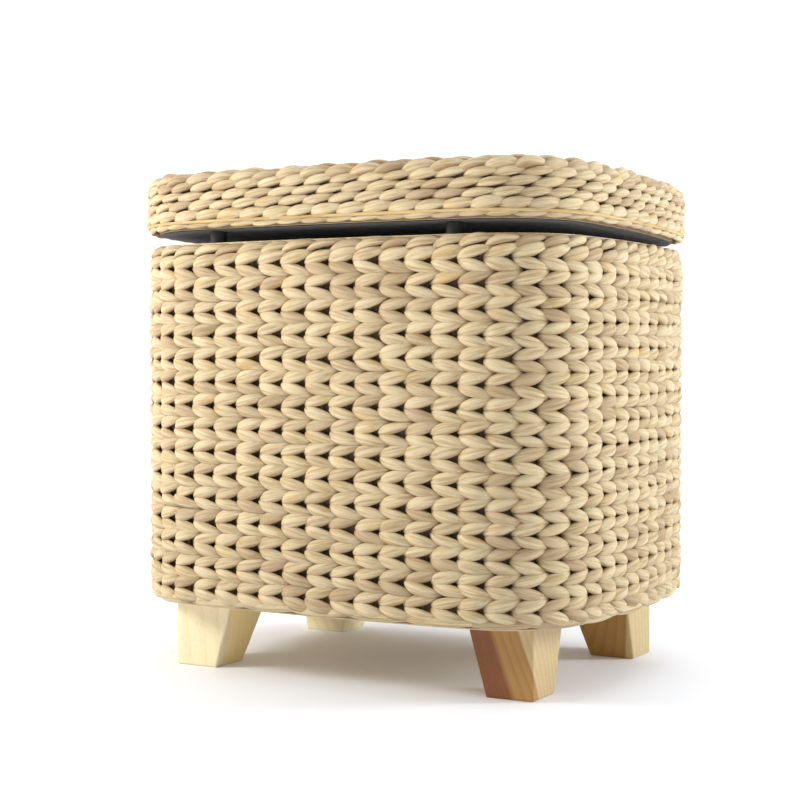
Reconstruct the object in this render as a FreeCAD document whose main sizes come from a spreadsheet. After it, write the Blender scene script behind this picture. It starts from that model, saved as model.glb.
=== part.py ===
import FreeCAD, Part
import math
import os
import re
import Sketcher

# A woven storage stool: a plaited straw body and lid over a light wooden frame, on four tapered
# wooden feet. The lid turns on two small butt hinges at the rear. Millimetres, +Z up, the floor at
# z = 0, the front faces -Y, and the origin is on the floor under the middle of the woven body.

os.makedirs("parts", exist_ok=True)
doc = FreeCAD.newDocument("woven_storage_stool")

# ---------------------------------------------------------------------------------------------
# Driving dimensions
# ---------------------------------------------------------------------------------------------

SIZES = [
    ("body_width", 366, "woven body, side to side at its widest"),
    ("body_depth", 292, "woven body, front to rear at its widest"),
    ("body_height", 260, "woven body, bottom edge to top rim"),
    ("front_curve", 1600, "radius of the gentle swell of the front and rear walls"),
    ("side_curve", 600, "radius of the gentle swell of the two side walls"),
    ("corner_radius", 70, "outer radius of the four upright corners"),
    ("wall", 11, "thickness of the woven wall"),
    ("rim_round", 4.5, "rounding of the woven wall's top and bottom edges"),
    ("foot_height", 49, "floor to the underside of the body"),
    ("foot_top", 49, "side of a foot's square top"),
    ("foot_sole", 35, "side of a foot's square sole"),
    ("foot_inset", 38, "body's widest side to a foot's outer face"),
    ("foot_round", 1.5, "rounding of a foot's edges"),
    ("board", 12, "thickness of the base board"),
    ("frame_thick", 12, "thickness of the ring under the top rim"),
    ("frame_width", 25, "width of the ring under the top rim"),
    ("post_size", 34, "side of a corner post before the corner is rounded off"),
    ("fit_gap", 0.3, "gap between pieces that fit into one another"),
    ("liner_cloth", 2, "thickness of the cloth bag"),
    ("liner_edge", 9, "width of the bag's edge, turned over onto the ring"),
    ("liner_edge_thick", 1.2, "thickness of the bag's turned edge"),
    ("lid_overhang", 2, "how far the lid stands out past the body, all round"),
    ("lid_height", 42.2, "bottom edge of the lid to its top"),
    ("lid_side", 10, "thickness of the lid's woven side"),
    ("lid_weave", 9.2, "thickness of the lid's woven top"),
    ("lid_top_round", 9, "rounding of the lid's top edge"),
    ("lid_edge_round", 3, "rounding of the lid's bottom edge"),
    ("lid_board", 9, "thickness of the lid's board"),
    ("lid_frame_width", 20, "width of the ring that stiffens the lid"),
    ("lining", 1, "thickness of the cloth under the lid"),
    ("rest_tilt", 1.2, "degrees that the closed lid rises towards the front"),
    ("leaf_thick", 1.2, "thickness of a hinge leaf"),
    ("leaf_gap", 0.2, "gap between the two leaves of a shut hinge"),
    ("leaf_width", 36, "width of a hinge, along its pin"),
    ("leaf_reach", 30, "pin's axis to the inner end of a leaf"),
    ("hinge_spacing", 180, "middle of one hinge to the middle of the other"),
    ("hinge_standoff", 4, "pin's axis behind the body's rearmost line"),
    ("barrel_radius", 2, "outside of a hinge's knuckles"),
    ("pin_radius", 0.9, "hinge pin"),
    ("pin_gap", 0.05, "running clearance round a hinge pin"),
    ("pin_seat_gap", 0.01, "clearance round a hinge pin where the body's knuckles hold it"),
    ("bore_overrun", 1, "how far a knuckle's bore is drawn past either end of the hinge"),
    ("knuckle_gap", 0.3, "gap between one knuckle and the next, and round a knuckle"),
    ("stop_length", 1.2, "how far a stop lug stands out of its knuckle"),
    ("stop_thick", 1.0, "thickness of a stop lug"),
    ("stop_opening", 102, "degrees that the lid opens before its stop lugs meet the other leaves"),
    ("bumper_radius", 6, "rubber bumper under the lid's front"),
    ("bumper_spacing", 190, "middle of one bumper to the middle of the other"),
    ("bumper_from_edge", 10.5, "ring's outer edge to the middle of a bumper"),
    ("bumper_gap", 0.2, "bumper's top to the closed lid"),
    ("screw_gap", 0.1, "clearance all round a screw in its hole"),
    ("screw_radius", 2, "frame screw's shank"),
    ("screw_head", 4, "frame screw's head, radius"),
    ("screw_length", 34, "frame screw, head to tip"),
    ("screw_spacing", 20, "one foot screw to the other, along x and along y"),
    ("post_screw_inset", 7.5, "post's inner corner to its screw, along x and along y"),
    ("short_screw_length", 22, "screw from the lid's board into its ring"),
    ("beside_hinge", 7, "side of a hinge to the middle of the lid ring's screw beside it"),
    ("hinge_screw_radius", 1.3, "hinge screw's shank"),
    ("hinge_screw_head", 2.4, "hinge screw's head, radius"),
    ("hinge_screw_length", 9, "hinge screw, head to tip"),
    ("hinge_screw_spacing", 12, "one hinge screw to the next"),
    ("hinge_screw_inset", 6, "leaf's inner end to its screws"),
    ("staple_width", 9, "staple's crown"),
    ("staple_wire", 0.7, "staple's wire"),
    ("staple_leg", 6, "how deep a staple goes in"),
]

sheet = doc.addObject("Spreadsheet::Sheet", "Sizes")
for row, (alias, value, meaning) in enumerate(SIZES, start=1):
    sheet.set(f"A{row}", meaning)
    sheet.set(f"B{row}", str(value))
    sheet.setAlias(f"B{row}", alias)
doc.recompute()

NAMES = {alias for alias, value, meaning in SIZES}

# Levels and insets that many pieces share, each written once in terms of the sizes above.
SHARED = {
    "body_top": "(foot_height + body_height)",
    "board_top": "(foot_height + board)",
    "frame_bottom": "(body_top - frame_thick)",
    "frame_inset": "(wall + fit_gap)",
    "mouth_inset": "(frame_inset + frame_width)",
    "liner_inset": "(mouth_inset + fit_gap)",
    "axis_y": "(body_depth / 2 + hinge_standoff)",
    "axis_z": "(body_top + leaf_thick + leaf_gap / 2)",
    "lid_bottom": "(body_top + 2 * leaf_thick + leaf_gap)",
    "lid_board_bottom": "(lid_bottom + lining)",
    "lid_board_top": "(lid_board_bottom + lid_board)",
    "lid_weave_bottom": "(lid_bottom + lid_height - lid_weave)",
    "lid_inset": "(lid_side + fit_gap - lid_overhang)",
    "lid_frame_height": "(lid_weave_bottom - fit_gap - lid_board_top)",
    "post_x": "(body_width / 2 - frame_inset - post_size)",
    "post_y": "(body_depth / 2 - frame_inset - post_size)",
    "hinge_screw_y": "(axis_y - leaf_reach + hinge_screw_inset)",
    "bumper_y": "(body_depth / 2 - frame_inset - bumper_from_edge)",
}


def in_cells(text):
    """Writes an expression's words as the sheet's cells: wall becomes Sizes.wall."""
    def swap(match):
        word = match.group()
        if word in SHARED:
            return in_cells(SHARED[word])
        if word in NAMES:
            return "Sizes." + word
        return word
    return re.sub(r"[a-z_]+", swap, text)


def tie(item, **sizes):
    """Binds properties to expressions: tie(box, Length="wall + fit_gap")."""
    for name, text in sizes.items():
        item.setExpression(name.replace("__", "."), in_cells(text))


def number(text):
    """The value of an expression now, for choices that an expression can't make."""
    probe = doc.addObject("Part::Box", "probe")
    tie(probe, Placement__Base__x=text)
    doc.recompute()
    value = probe.Placement.Base.x
    doc.removeObject(probe.Name)
    return value


def put(item, x="0", y="0", z="0", axis=(0, 0, 1), turn="0"):
    """Turns a piece about the origin and moves it, with both bound to expressions."""
    spin = "rotation(vector({}; {}; {}); {})".format(*axis, in_cells(turn))
    place = "vector({}; {}; {})".format(in_cells(x), in_cells(y), in_cells(z))
    item.setExpression("Placement", f"placement({place}; {spin})")


def on_lid(item):
    """Tips a piece that was drawn with the lid level back by the rest tilt, about the hinges."""
    spin = in_cells("rotation(vector(1; 0; 0); -rest_tilt)")
    centre = in_cells("vector(0; axis_y; axis_z)")
    item.setExpression("Placement", f"placement(vector(0; 0; 0); {spin}; {centre})")


# ---------------------------------------------------------------------------------------------
# The plan that body, lid, boards, rings and bag share
# ---------------------------------------------------------------------------------------------
# Four gentle arcs are joined by four tight ones. An inset plan keeps every arc's centre and takes
# the inset off its radius, so nested pieces stay the same distance apart all the way round.

FRONT_CENTRE = number("front_curve - body_depth / 2")
SIDE_CENTRE = number("side_curve - body_width / 2")


def corner_centre():
    """The middle of a corner's arc, which touches a front arc and a side arc from inside."""
    from_front = number("front_curve - corner_radius")
    from_side = number("side_curve - corner_radius")
    apart = math.hypot(FRONT_CENTRE, SIDE_CENTRE)
    along = (from_front**2 - from_side**2 + apart**2) / (2 * apart)
    across = math.sqrt(from_front**2 - along**2)
    unit_x = SIDE_CENTRE / apart
    unit_y = FRONT_CENTRE / apart
    return across * unit_y - along * unit_x, along * unit_y + across * unit_x - FRONT_CENTRE


def origin_plane(body, role):
    """One of a body's own three base planes."""
    return next(item for item in body.Origin.OriginFeatures if item.Role == role)


def bind(sketch, constraint, text=None):
    """Adds a constraint to a sketch and, where it has a size, binds it to an expression."""
    index = sketch.addConstraint(constraint)
    if text:
        sketch.setExpression(f"Constraints[{index}]", in_cells(text))


def plan_sketch(body, name, inset, level):
    """The plan, inset from the woven body's outside, drawn flat at a level."""
    sketch = body.newObject("Sketcher::SketchObject", name)
    sketch.AttachmentSupport = [(origin_plane(body, "XY_Plane"), "")]
    sketch.MapMode = "FlatFace"
    tie(sketch, AttachmentOffset__Base__z=level)
    corner_x, corner_y = corner_centre()
    # Each arc's middle and curve, in turn round the plan from the front.
    arcs = [((0, FRONT_CENTRE), "front_curve"), ((corner_x, -corner_y), "corner_radius"),
            ((-SIDE_CENTRE, 0), "side_curve"), ((corner_x, corner_y), "corner_radius"),
            ((0, -FRONT_CENTRE), "front_curve"), ((-corner_x, corner_y), "corner_radius"),
            ((SIDE_CENTRE, 0), "side_curve"), ((-corner_x, -corner_y), "corner_radius")]
    # Two arcs in a row touch on the line through their middles.
    joints = []
    for (first, curve), (second, next_curve) in zip(arcs, arcs[1:] + arcs[:1]):
        joints.append(math.atan2(second[1] - first[1], second[0] - first[0]))
    for index, ((middle_x, middle_y), curve) in enumerate(arcs):
        sharp = curve == "corner_radius"
        begin = joints[index - 1] if sharp else joints[index - 1] + math.pi
        finish = joints[index] + math.pi if sharp else joints[index]
        middle = FreeCAD.Vector(middle_x, middle_y, 0)
        circle = Part.Circle(middle, FreeCAD.Vector(0, 0, 1), number(f"{curve} - ({inset})"))
        sketch.addGeometry(Part.ArcOfCircle(circle, begin, finish), False)
    for index in range(len(arcs)):
        bind(sketch, Sketcher.Constraint("Tangent", index, 2, (index + 1) % len(arcs), 1))
    for index, (middle, curve) in enumerate(arcs):
        text = f"{curve} - ({inset})"
        bind(sketch, Sketcher.Constraint("Radius", index, number(text)), text)
    front_centre = "front_curve - body_depth / 2"
    side_centre = "side_curve - body_width / 2"
    bind(sketch, Sketcher.Constraint("PointOnObject", 0, 3, -2))
    bind(sketch, Sketcher.Constraint("PointOnObject", 4, 3, -2))
    bind(sketch, Sketcher.Constraint("PointOnObject", 2, 3, -1))
    bind(sketch, Sketcher.Constraint("PointOnObject", 6, 3, -1))
    bind(sketch, Sketcher.Constraint("DistanceY", -1, 1, 0, 3, FRONT_CENTRE), front_centre)
    bind(sketch, Sketcher.Constraint("DistanceY", 4, 3, -1, 1, FRONT_CENTRE), front_centre)
    bind(sketch, Sketcher.Constraint("DistanceX", 2, 3, -1, 1, SIDE_CENTRE), side_centre)
    bind(sketch, Sketcher.Constraint("DistanceX", -1, 1, 6, 3, SIDE_CENTRE), side_centre)
    return sketch


def edges_where(feature, test):
    """The names of those edges of a feature that pass a test."""
    return [f"Edge{n}" for n, edge in enumerate(feature.Shape.Edges, start=1) if test(edge)]


def at_level(text):
    """A test for the edges that lie flat at a level."""
    level = number(text)

    def test(edge):
        return edge.BoundBox.ZLength < 1e-4 and abs(edge.BoundBox.ZMin - level) < 0.01
    return test


def round_off(body, test, radius):
    """Rounds those edges of a body's last feature that pass a test."""
    doc.recompute()
    last = body.Tip
    names = edges_where(last, test)
    if not names:
        raise ValueError(f"{body.Label}: no edge to round")
    rounding = body.newObject("PartDesign::Fillet", "Rounding")
    rounding.Base = (last, names)
    tie(rounding, Radius=radius)
    body.Tip = rounding
    doc.recompute()


def new_body(label):
    """An empty body whose label is the piece's name."""
    body = doc.addObject("PartDesign::Body", label)
    body.Label = label
    return body


def plan_block(label, inset, level, height):
    """A block with the rounded plan, standing at a level."""
    body = new_body(label)
    pad = body.newObject("PartDesign::Pad", "Pad")
    pad.Profile = plan_sketch(body, "Plan", inset, level)
    tie(pad, Length=height)
    body.Tip = pad
    doc.recompute()
    return body


def hollow(body, inset, level, depth):
    """Cuts a rounded plan out of a body, downwards from a level, and checks that it did."""
    before = body.Shape.Volume
    pocket = body.newObject("PartDesign::Pocket", "Hollow")
    pocket.Profile = plan_sketch(body, "HollowPlan", inset, level)
    tie(pocket, Length=depth)
    body.Tip = pocket
    doc.recompute()
    if body.Shape.Volume > before - 1:
        raise ValueError(f"{body.Label}: the hollow cut nothing")


# ---------------------------------------------------------------------------------------------
# Plain solids and booleans, with sizes and places bound to expressions
# ---------------------------------------------------------------------------------------------

def block(name, x, y, z, length, width, height):
    """A box from its lowest corner."""
    box = doc.addObject("Part::Box", name)
    tie(box, Length=length, Width=width, Height=height)
    put(box, x, y, z)
    return box


def upright_cylinder(name, x, y, z, radius, height):
    """A cylinder that stands on a point."""
    cylinder = doc.addObject("Part::Cylinder", name)
    tie(cylinder, Radius=radius, Height=height)
    put(cylinder, x, y, z)
    return cylinder


def rod(name, x, length, radius):
    """A cylinder about the hinges' axis, from x towards +X."""
    cylinder = doc.addObject("Part::Cylinder", name)
    tie(cylinder, Radius=radius, Height=length)
    put(cylinder, x, "axis_y", "axis_z", (0, 1, 0), "90")
    return cylinder


def joined(name, items):
    """One solid from several that overlap."""
    fuse = doc.addObject("Part::MultiFuse", name)
    fuse.Shapes = items
    return fuse


def grouped(name, items):
    """Separate solids that share one piece."""
    group = doc.addObject("Part::Compound", name)
    group.Links = items
    return group


def cut(name, base, tool):
    """A solid less another."""
    result = doc.addObject("Part::Cut", name)
    result.Base = base
    result.Tool = tool
    return result


def screw(name, x, y, z, points_up, kind, grow="0"):
    """A countersunk screw, its head flush with a surface at z. Grown, it is the screw's hole."""
    radius, head, length = {
        "frame": ("screw_radius", "screw_head", "screw_length"),
        "short": ("screw_radius", "screw_head", "short_screw_length"),
        "hinge": ("hinge_screw_radius", "hinge_screw_head", "hinge_screw_length"),
    }[kind]
    head_cone = doc.addObject("Part::Cone", name + "_head")
    tie(head_cone, Radius1=f"{head} + {grow}", Radius2=f"{radius} + {grow}",
        Height=f"{head} - {radius}")
    shank = doc.addObject("Part::Cone", name + "_shank")
    tie(shank, Radius1=f"{radius} + {grow}", Radius2=f"{radius} / 2 + {grow}",
        Height=f"{length} + {grow}")
    turn = "0" if points_up else "180"
    for solid in (head_cone, shank):
        put(solid, x, y, z, (1, 0, 0), turn)
    return joined(name, [head_cone, shank])


def screws_and_holes(name, places, points_up, kind):
    """A group of screws and the group of slightly larger solids that make their holes."""
    pieces = []
    holes = []
    for index, (x, y, z) in enumerate(places, start=1):
        pieces.append(screw(f"{name}_{index}", x, y, z, points_up, kind))
        holes.append(screw(f"{name}_hole_{index}", x, y, z, points_up, kind, "screw_gap"))
    return grouped(name, pieces), grouped(name + "_holes", holes)


CORNERS = {
    "front_left": (-1, -1),
    "front_right": (1, -1),
    "rear_left": (-1, 1),
    "rear_right": (1, 1),
}
SIDES = {"left": -1, "right": 1}
kept = {}


def keep(item, label):
    """Names a finished piece and puts it on the list of pieces to write."""
    item.Label = label
    kept[label] = item
    return item


# ---------------------------------------------------------------------------------------------
# Woven body
# ---------------------------------------------------------------------------------------------

woven_body = plan_block("woven_body", "0", "foot_height", "body_height")
hollow(woven_body, "wall", "body_top", "body_height")
round_off(woven_body, at_level("body_top"), "rim_round")
round_off(woven_body, at_level("foot_height"), "rim_round")
keep(woven_body, "woven_body")

# ---------------------------------------------------------------------------------------------
# Screws of the frame, and the holes that they need
# ---------------------------------------------------------------------------------------------

foot_middle_x = "(body_width / 2 - foot_inset - foot_top / 2)"
foot_middle_y = "(body_depth / 2 - foot_inset - foot_top / 2)"
foot_screw_places = []
post_screw_places = []
for side_x, side_y in CORNERS.values():
    for step in (-1, 1):
        foot_screw_places.append((f"{side_x} * ({foot_middle_x} + {step} * screw_spacing / 2)",
                                  f"{side_y} * ({foot_middle_y} + {step} * screw_spacing / 2)",
                                  "board_top"))
    post_screw_places.append((f"{side_x} * (post_x + post_screw_inset)",
                              f"{side_y} * (post_y + post_screw_inset)"))

foot_screws, foot_holes = screws_and_holes("foot_screws", foot_screw_places, False, "frame")
lower_places = [(x, y, "foot_height") for x, y in post_screw_places]
lower_screws, lower_holes = screws_and_holes("post_screws_lower", lower_places, True, "frame")
upper_places = [(x, y, "body_top") for x, y in post_screw_places]
upper_screws, upper_holes = screws_and_holes("post_screws_upper", upper_places, False, "frame")
keep(foot_screws, "foot_screws")
keep(lower_screws, "post_screws_lower")
keep(upper_screws, "post_screws_upper")

# Three screws hold each leaf of each hinge.
hinge_screw_x = [f"{side} * hinge_spacing / 2 + {step} * hinge_screw_spacing"
                 for side in SIDES.values() for step in (-1, 0, 1)]
body_leaf_places = [(x, "hinge_screw_y", "body_top + leaf_thick") for x in hinge_screw_x]
lid_leaf_places = [(x, "hinge_screw_y", "lid_bottom - leaf_thick") for x in hinge_screw_x]
body_leaf_screws, body_leaf_holes = screws_and_holes(
    "hinge_body_screws", body_leaf_places, False, "hinge")
lid_leaf_screws, lid_leaf_holes = screws_and_holes(
    "hinge_lid_screws", lid_leaf_places, True, "hinge")
keep(body_leaf_screws, "hinge_body_screws")
keep(lid_leaf_screws, "hinge_lid_screws")
on_lid(lid_leaf_screws)

# ---------------------------------------------------------------------------------------------
# Base board, feet, corner posts and the ring under the rim
# ---------------------------------------------------------------------------------------------

board_blank = plan_block("board_blank", "frame_inset", "foot_height", "board")
board_holes = grouped("board_holes", [foot_holes, lower_holes])
keep(cut("base_board_cut", board_blank, board_holes), "base_board")

ring_blank = plan_block("ring_blank", "frame_inset", "frame_bottom", "frame_thick")
hollow(ring_blank, "mouth_inset", "body_top", "frame_thick")
ring_holes = grouped("ring_holes", [upper_holes, body_leaf_holes])
keep(cut("top_ring_cut", ring_blank, ring_holes), "top_ring")

# A foot tapers on its two inner faces only. Drawn as a wedge along +Y, it is stood up and then
# turned a quarter at a time, so that its square corner faces out of the stool.
QUARTER_TURNS = {"rear_left": 0, "front_left": 90, "front_right": 180, "rear_right": 270}
for corner, (side_x, side_y) in CORNERS.items():
    foot = new_body("foot_blank_" + corner)
    wedge = foot.newObject("PartDesign::AdditiveWedge", "Taper")
    tie(wedge, Xmin="0", Xmax="foot_sole", Zmin="0", Zmax="foot_sole", Ymin="0",
        Ymax="foot_height", X2min="0", X2max="foot_top", Z2min="0", Z2max="foot_top")
    foot.Tip = wedge
    top = number("foot_height")

    def below_top(edge):
        return edge.BoundBox.YMin < top - 0.01

    round_off(foot, below_top, "foot_round")
    quarter = QUARTER_TURNS[corner]
    spin = f"rotation(vector(0; 0; 1); {quarter}) * rotation(vector(1; 0; 0); 90)"
    place_x = in_cells(f"{side_x} * (body_width / 2 - foot_inset)")
    place_y = in_cells(f"{side_y} * (body_depth / 2 - foot_inset)")
    foot.setExpression("Placement", f"placement(vector({place_x}; {place_y}; 0); {spin})")
    keep(cut("foot_cut_" + corner, foot, foot_holes), "foot_" + corner)

# A corner post is a square batten whose outer corner is rounded to the wall's inner face.
post_height = "frame_bottom - board_top"
post_blank = plan_block("post_blank", "frame_inset", "board_top", post_height)
post_holes = grouped("post_holes", [lower_holes, upper_holes])
for corner, (side_x, side_y) in CORNERS.items():
    x = "post_x" if side_x > 0 else "-post_x - 2 * post_size"
    y = "post_y" if side_y > 0 else "-post_y - 2 * post_size"
    batten = block("batten_" + corner, x, y, "board_top",
                   "2 * post_size", "2 * post_size", post_height)
    shaped = doc.addObject("Part::Common", "post_shape_" + corner)
    shaped.Base = post_blank
    shaped.Tool = batten
    keep(cut("post_cut_" + corner, shaped, post_holes), "corner_post_" + corner)

# ---------------------------------------------------------------------------------------------
# Cloth bag, its staples, and the bumpers
# ---------------------------------------------------------------------------------------------

# The bag hangs in the ring's mouth down to the base board. Its edge is turned over onto the ring.
bag_bottom = "(board_top + fit_gap)"
bag_height = f"body_top + liner_edge_thick - {bag_bottom}"
bag = plan_block("bag", "liner_inset", bag_bottom, bag_height)
bag_edge = plan_block("bag_edge", "mouth_inset - liner_edge", "body_top", "liner_edge_thick")
bag_hollow = plan_block("bag_hollow", "liner_inset + liner_cloth", f"{bag_bottom} + liner_cloth",
                        f"{bag_height} - liner_cloth")
keep(cut("liner_cut", joined("bag_and_edge", [bag, bag_edge]), bag_hollow), "liner")


def staple(name, along_x, x, y):
    """A wire staple through the bag's edge into the ring, its crown lying on the cloth."""
    wide = "staple_width"
    thin = "staple_wire"
    low = "body_top + liner_edge_thick - staple_leg"
    crown_level = "body_top + liner_edge_thick"
    long_x, long_y = (wide, thin) if along_x else (thin, wide)
    far_x = f"{x} + ({long_x}) / 2 - {thin}"
    far_y = f"{y} + ({long_y}) / 2 - {thin}"
    near_x = f"{x} - ({long_x}) / 2"
    near_y = f"{y} - ({long_y}) / 2"
    crown = block(name + "_crown", near_x, near_y, crown_level, long_x, long_y, thin)
    first = block(name + "_first_leg", near_x, near_y, low, thin, thin, "staple_leg")
    second = block(name + "_second_leg", far_x, far_y, low, thin, thin, "staple_leg")
    return joined(name, [crown, first, second])


def swell(along, curve):
    """How far a wall's gentle curve has gone inwards at a distance from its middle."""
    return f"({along}) * ({along}) / (2 * {curve})"


edge_x = "(body_width / 2 - mouth_inset + liner_edge / 2)"
edge_y = "(body_depth / 2 - mouth_inset + liner_edge / 2)"
STEPS_ALONG_FRONT = (-1.5, -0.5, 0.5, 1.5)
STEPS_ALONG_SIDE = (-1, 0, 1)
staples = []
for side in SIDES.values():
    for step in STEPS_ALONG_FRONT:
        along = f"({step} * (body_width - 2 * corner_radius) / 4)"
        y = f"{side} * ({edge_y} - {swell(along, 'front_curve')})"
        staples.append(staple(f"staple_{len(staples)}", True, along, y))
    for step in STEPS_ALONG_SIDE:
        along = f"({step} * (body_depth - 2 * corner_radius) / 3)"
        x = f"{side} * ({edge_x} - {swell(along, 'side_curve')})"
        staples.append(staple(f"staple_{len(staples)}", False, x, along))
keep(grouped("liner_staples", staples), "liner_staples")

# The bumpers stop just under the closed lid, which rises towards the front.
bumper_height = ("axis_z - body_top + leaf_thick + leaf_gap / 2 - bumper_gap"
                 " + (axis_y + bumper_y - bumper_radius) * sin(rest_tilt)")
bumpers = [upright_cylinder("bumper_" + name, f"{side} * bumper_spacing / 2", "-bumper_y",
                            "body_top", "bumper_radius", bumper_height)
           for name, side in SIDES.items()]
keep(grouped("lid_bumpers", bumpers), "lid_bumpers")

# ---------------------------------------------------------------------------------------------
# Lid, drawn level and then tipped by its rest tilt
# ---------------------------------------------------------------------------------------------

woven_lid = plan_block("woven_lid", "-lid_overhang", "lid_bottom", "lid_height")
hollow(woven_lid, "lid_side - lid_overhang", "lid_weave_bottom", "lid_height - lid_weave")
round_off(woven_lid, at_level("lid_bottom + lid_height"), "lid_top_round")
round_off(woven_lid, at_level("lid_bottom"), "lid_edge_round")
keep(woven_lid, "woven_lid")

# Screws go up from the lid's board into the middle of the ring above it: one at each side, and
# four just outside the hinges' width, where the swell has taken the ring inwards.
lid_ring_x = "(body_width / 2 - lid_inset - lid_frame_width / 2)"
lid_ring_y = "(body_depth / 2 - lid_inset - lid_frame_width / 2)"
outside_hinge = "((hinge_spacing + leaf_width) / 2 + beside_hinge)"
lid_screw_places = [(f"{side} * {lid_ring_x}", "0", "lid_board_bottom") for side in SIDES.values()]
lid_screw_places += [(f"{side} * {outside_hinge}",
                      f"{end} * ({lid_ring_y} - {swell(outside_hinge, 'front_curve')})",
                      "lid_board_bottom")
                     for side in SIDES.values() for end in (-1, 1)]
lid_screws, lid_screw_holes = screws_and_holes("lid_ring_screws", lid_screw_places, True, "short")
keep(lid_screws, "lid_ring_screws")

lid_board_blank = plan_block("lid_board_blank", "lid_inset", "lid_board_bottom", "lid_board")
lid_board_holes = grouped("lid_board_holes", [lid_screw_holes, lid_leaf_holes])
keep(cut("lid_board_cut", lid_board_blank, lid_board_holes), "lid_board")

lid_ring_blank = plan_block("lid_ring_blank", "lid_inset", "lid_board_top", "lid_frame_height")
hollow(lid_ring_blank, "lid_inset + lid_frame_width", "lid_board_top + lid_frame_height",
       "lid_frame_height")
keep(cut("lid_ring_cut", lid_ring_blank, lid_screw_holes), "lid_ring")

keep(plan_block("seat_foam", "lid_inset + lid_frame_width + fit_gap", "lid_board_top",
                "lid_frame_height"), "seat_foam")

lining_blank = plan_block("lining_blank", "lid_inset", "lid_bottom", "lining")
keep(cut("lid_lining_cut", lining_blank, lid_leaf_holes), "lid_lining")

for name in ("woven_lid", "lid_ring_screws", "lid_board", "lid_ring", "seat_foam", "lid_lining"):
    on_lid(kept[name])

# ---------------------------------------------------------------------------------------------
# Hinges
# ---------------------------------------------------------------------------------------------
# Each has a leaf screwed flat to the ring, a leaf screwed flat under the lid, and a pin behind the
# rear wall. The leaf on the body has the two outer knuckles, the leaf on the lid the middle one.
# A lug on the middle knuckle meets the lower edge of the body's leaf when the lid is open, and
# stops it. Its place on the knuckle follows from where that edge is.

third = "(leaf_width / 3)"
clear_radius = "(barrel_radius + knuckle_gap)"
leaf_edge_angle = f"acos((leaf_thick + leaf_gap / 2) / {clear_radius})"
lug_half_angle = f"asin(stop_thick / 2 / {clear_radius})"
lug_angle = f"180 deg + stop_opening * 1 deg - {leaf_edge_angle} + {lug_half_angle}"
for side_name, side in SIDES.items():
    start = f"({side} * hinge_spacing / 2 - leaf_width / 2)"
    outer_thirds = (start, f"({start} + 2 * {third})")
    leaf_y = "axis_y - leaf_reach"

    plate = block("body_plate_" + side_name, start, leaf_y, "body_top",
                  "leaf_width", "leaf_reach", "leaf_thick")
    room = rod("body_room_" + side_name, f"{start} + {third} - knuckle_gap / 2",
               f"{third} + knuckle_gap", clear_radius)
    open_plate = cut("body_open_plate_" + side_name, plate, room)
    knuckles = [rod(f"body_knuckle_{index}_{side_name}",
                    f"{x} + {index} * knuckle_gap / 2",
                    f"{third} - knuckle_gap / 2", "barrel_radius")
                for index, x in enumerate(outer_thirds)]
    bore = rod("body_bore_" + side_name, f"{start} - bore_overrun",
               "leaf_width + 2 * bore_overrun", "pin_radius + pin_seat_gap")
    body_leaf = joined("body_leaf_" + side_name, [open_plate] + knuckles)
    body_cuts = grouped("body_leaf_cuts_" + side_name, [bore, body_leaf_holes])
    keep(cut("body_leaf_cut_" + side_name, body_leaf, body_cuts), "hinge_body_leaf_" + side_name)

    plate = block("lid_plate_" + side_name, start, leaf_y, "lid_bottom - leaf_thick",
                  "leaf_width", "leaf_reach", "leaf_thick")
    rooms = grouped("lid_rooms_" + side_name,
                    [rod(f"lid_room_{index}_{side_name}",
                         f"{x} + {index - 1} * knuckle_gap / 2",
                         f"{third} + knuckle_gap / 2", clear_radius)
                     for index, x in enumerate(outer_thirds)])
    open_plate = cut("lid_open_plate_" + side_name, plate, rooms)
    knuckle = rod("lid_knuckle_" + side_name, f"{start} + {third} + knuckle_gap / 2",
                  f"{third} - knuckle_gap", "barrel_radius")
    lug = doc.addObject("Part::Box", "stop_lug_" + side_name)
    tie(lug, Length=f"{third} - knuckle_gap", Width="stop_thick",
        Height="stop_length + barrel_radius - pin_radius - pin_gap")
    lug_x = in_cells(f"{start} + {third} + knuckle_gap / 2")
    lug_turn = in_cells(lug_angle)
    lug_shift = in_cells("vector(0; -stop_thick / 2; pin_radius + pin_gap)")
    axis_point = in_cells("axis_y; axis_z")
    lug.setExpression("Placement",
                      f"placement(vector({lug_x}; {axis_point}); "
                      f"rotation(vector(1; 0; 0); {lug_turn})) * "
                      f"placement({lug_shift}; rotation(vector(1; 0; 0); 0))")
    bore = rod("lid_bore_" + side_name, f"{start} - bore_overrun",
               "leaf_width + 2 * bore_overrun", "pin_radius + pin_gap")
    lid_leaf = joined("lid_leaf_" + side_name, [open_plate, knuckle, lug])
    lid_cuts = grouped("lid_leaf_cuts_" + side_name, [bore, lid_leaf_holes])
    finished = cut("lid_leaf_cut_" + side_name, lid_leaf, lid_cuts)
    keep(finished, "hinge_lid_leaf_" + side_name)
    on_lid(finished)

    keep(rod("pin_" + side_name, f"{start} - knuckle_gap", "leaf_width + 2 * knuckle_gap",
             "pin_radius"), "hinge_pin_" + side_name)

# ---------------------------------------------------------------------------------------------
# Check everything, then write each piece
# ---------------------------------------------------------------------------------------------

doc.recompute()
for item in doc.Objects:
    if "Invalid" in item.State or "Error" in item.State:
        raise ValueError(f"{item.Label} did not build: {item.State}")
for label, item in kept.items():
    if item.Shape.isNull() or not item.Shape.isValid():
        raise ValueError(f"{label} has no valid shape")
for label, item in kept.items():
    item.Shape.exportStep(f"parts/{label}.step")
    box = item.Shape.BoundBox
    print(f"{label}: {len(item.Shape.Solids)} solid(s), {item.Shape.Volume / 1000:.1f} cm3, "
          f"x {box.XMin:.1f} to {box.XMax:.1f}, y {box.YMin:.1f} to {box.YMax:.1f}, "
          f"z {box.ZMin:.1f} to {box.ZMax:.1f}")
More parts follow.
